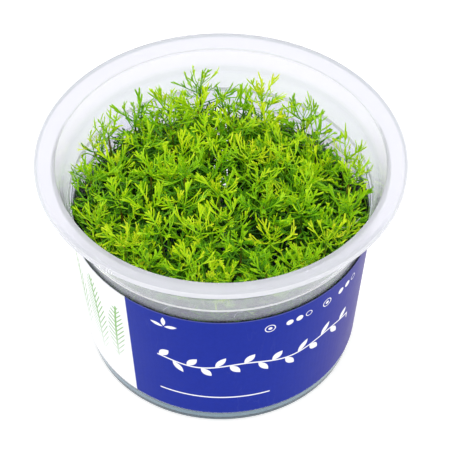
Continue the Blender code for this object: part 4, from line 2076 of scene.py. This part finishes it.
    def build(self, effects: Effects) -> None:
        """Builds and dresses every plantlet, and gives each root thread to the nearest one.

        Args:
            effects: the shared node groups.
        """
        finishes = (
            (Slot.LIME, LeafFinish("leaf_lime", 0.07)),
            (Slot.GREEN, LeafFinish("leaf_green", 0.0)),
            (Slot.DEEP, LeafFinish("leaf_deep", -0.07)),
        )
        dressed = [(slot, finish.material(effects)) for slot, finish in finishes]
        reader = SkeletonReader()
        nodes = sorted(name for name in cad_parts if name.startswith("shoot_"))
        skeletons = [reader.read(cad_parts[node]) for node in nodes]
        buds = np.array([bones.bud[:2] for bones in skeletons])
        owners = np.linalg.norm(buds[None] - ROOTS.mean(axis=1)[:, None, :2], axis=2).argmin(axis=1)
        for number, (node, bones) in enumerate(zip(nodes, skeletons)):
            rng = np.random.default_rng([self.seed, number])
            name = node.replace("shoot", "plant")
            mesh = self.plant(rng, bones, ROOTS[owners == number]).to_mesh(name, False)
            slot, material = dressed[number % len(dressed)]
            add_piece(name, mesh, [material], slot, node)


# ---------------------------------------------------------------- studio


@dataclass
class Studio:
    """The pale floor, the soft light and the camera."""

    camera_place: tuple[float, float, float] = (-0.00024, -0.33850, 0.39663)
    camera_turn: tuple[float, float, float] = (43.28, 0.0, -0.26)
    lens: float = 148.77
    sensor: float = 36.0
    sky: float = 1.0
    floor_half: float = 2.0
    floor_greys: tuple[float, float] = (0.60, 0.62)
    floor_scale: float = 3.0
    floor_roughness: float = 0.9
    floor_glow: float = 0.62
    floor_drop: float = 0.1 * MM
    lamp_place: tuple[float, float, float] = (-0.05, -0.20, 0.90)
    lamp_size: float = 0.7
    lamp_power: float = 2.0

    def floor(self) -> None:
        """A wide plain pale floor."""
        half, low = self.floor_half, -self.floor_drop
        mesh = bpy.data.meshes.new("floor")
        corners = [(-half, -half, low), (half, -half, low), (half, half, low), (-half, half, low)]
        mesh.from_pydata(corners, [], [(0, 1, 2, 3)])
        piece = bpy.data.objects.new("floor", mesh)
        bpy.context.scene.collection.objects.link(piece)
        material, tree, shader = start_material("pale_floor")
        dark, light = ((grey, grey, grey, 1.0) for grey in self.floor_greys)
        patches = tree.noise(tree.place(), self.floor_scale)
        tree.put(shader.inputs["Base Color"], tree.mix(patches, dark, light))
        shader.inputs["Roughness"].default_value = self.floor_roughness
        shader.inputs["Emission Color"].default_value = WHITE
        shader.inputs["Emission Strength"].default_value = self.floor_glow
        mesh.materials.append(material)

    def lamp(self) -> None:
        """The square soft light above, which faces the tub."""
        light = bpy.data.lights.new("soft_top", "AREA")
        light.shape = "SQUARE"
        light.size = self.lamp_size
        light.energy = self.lamp_power
        holder = bpy.data.objects.new("soft_top", light)
        bpy.context.scene.collection.objects.link(holder)
        x, y, z = self.lamp_place
        holder.location = self.lamp_place
        holder.rotation_euler = (math.atan2(math.hypot(x, y), z), 0.0, math.atan2(x, -y))

    def camera(self) -> None:
        """The camera at the photograph's viewing angle."""
        data = bpy.data.cameras.new("camera")
        data.lens = self.lens
        data.sensor_width = self.sensor
        holder = bpy.data.objects.new("camera", data)
        holder.location = self.camera_place
        holder.rotation_euler = tuple(math.radians(turn) for turn in self.camera_turn)
        bpy.context.scene.collection.objects.link(holder)
        bpy.context.scene.camera = holder

    def build(self) -> None:
        """Sets up the floor, the sky, the light and the camera."""
        self.floor()
        world = bpy.data.worlds.new("studio")
        world.use_nodes = True
        background = world.node_tree.nodes["Background"]
        background.inputs["Color"].default_value = WHITE
        background.inputs["Strength"].default_value = self.sky
        bpy.context.scene.world = world
        bpy.context.scene.view_settings.view_transform = "Standard"
        self.lamp()
        self.camera()


def main() -> None:
    """Builds the studio and every piece of the potted plant."""
    logging.basicConfig(level=logging.INFO, format="%(name)s: %(message)s")
    Studio().build()
    effects = Effects()
    tub = Tub()
    tub.build(effects)
    Wrap(tub).build(effects)
    Gel(tub).build(effects)
    Plants(tub).build(effects)


if __name__ == "__main__":
    main()
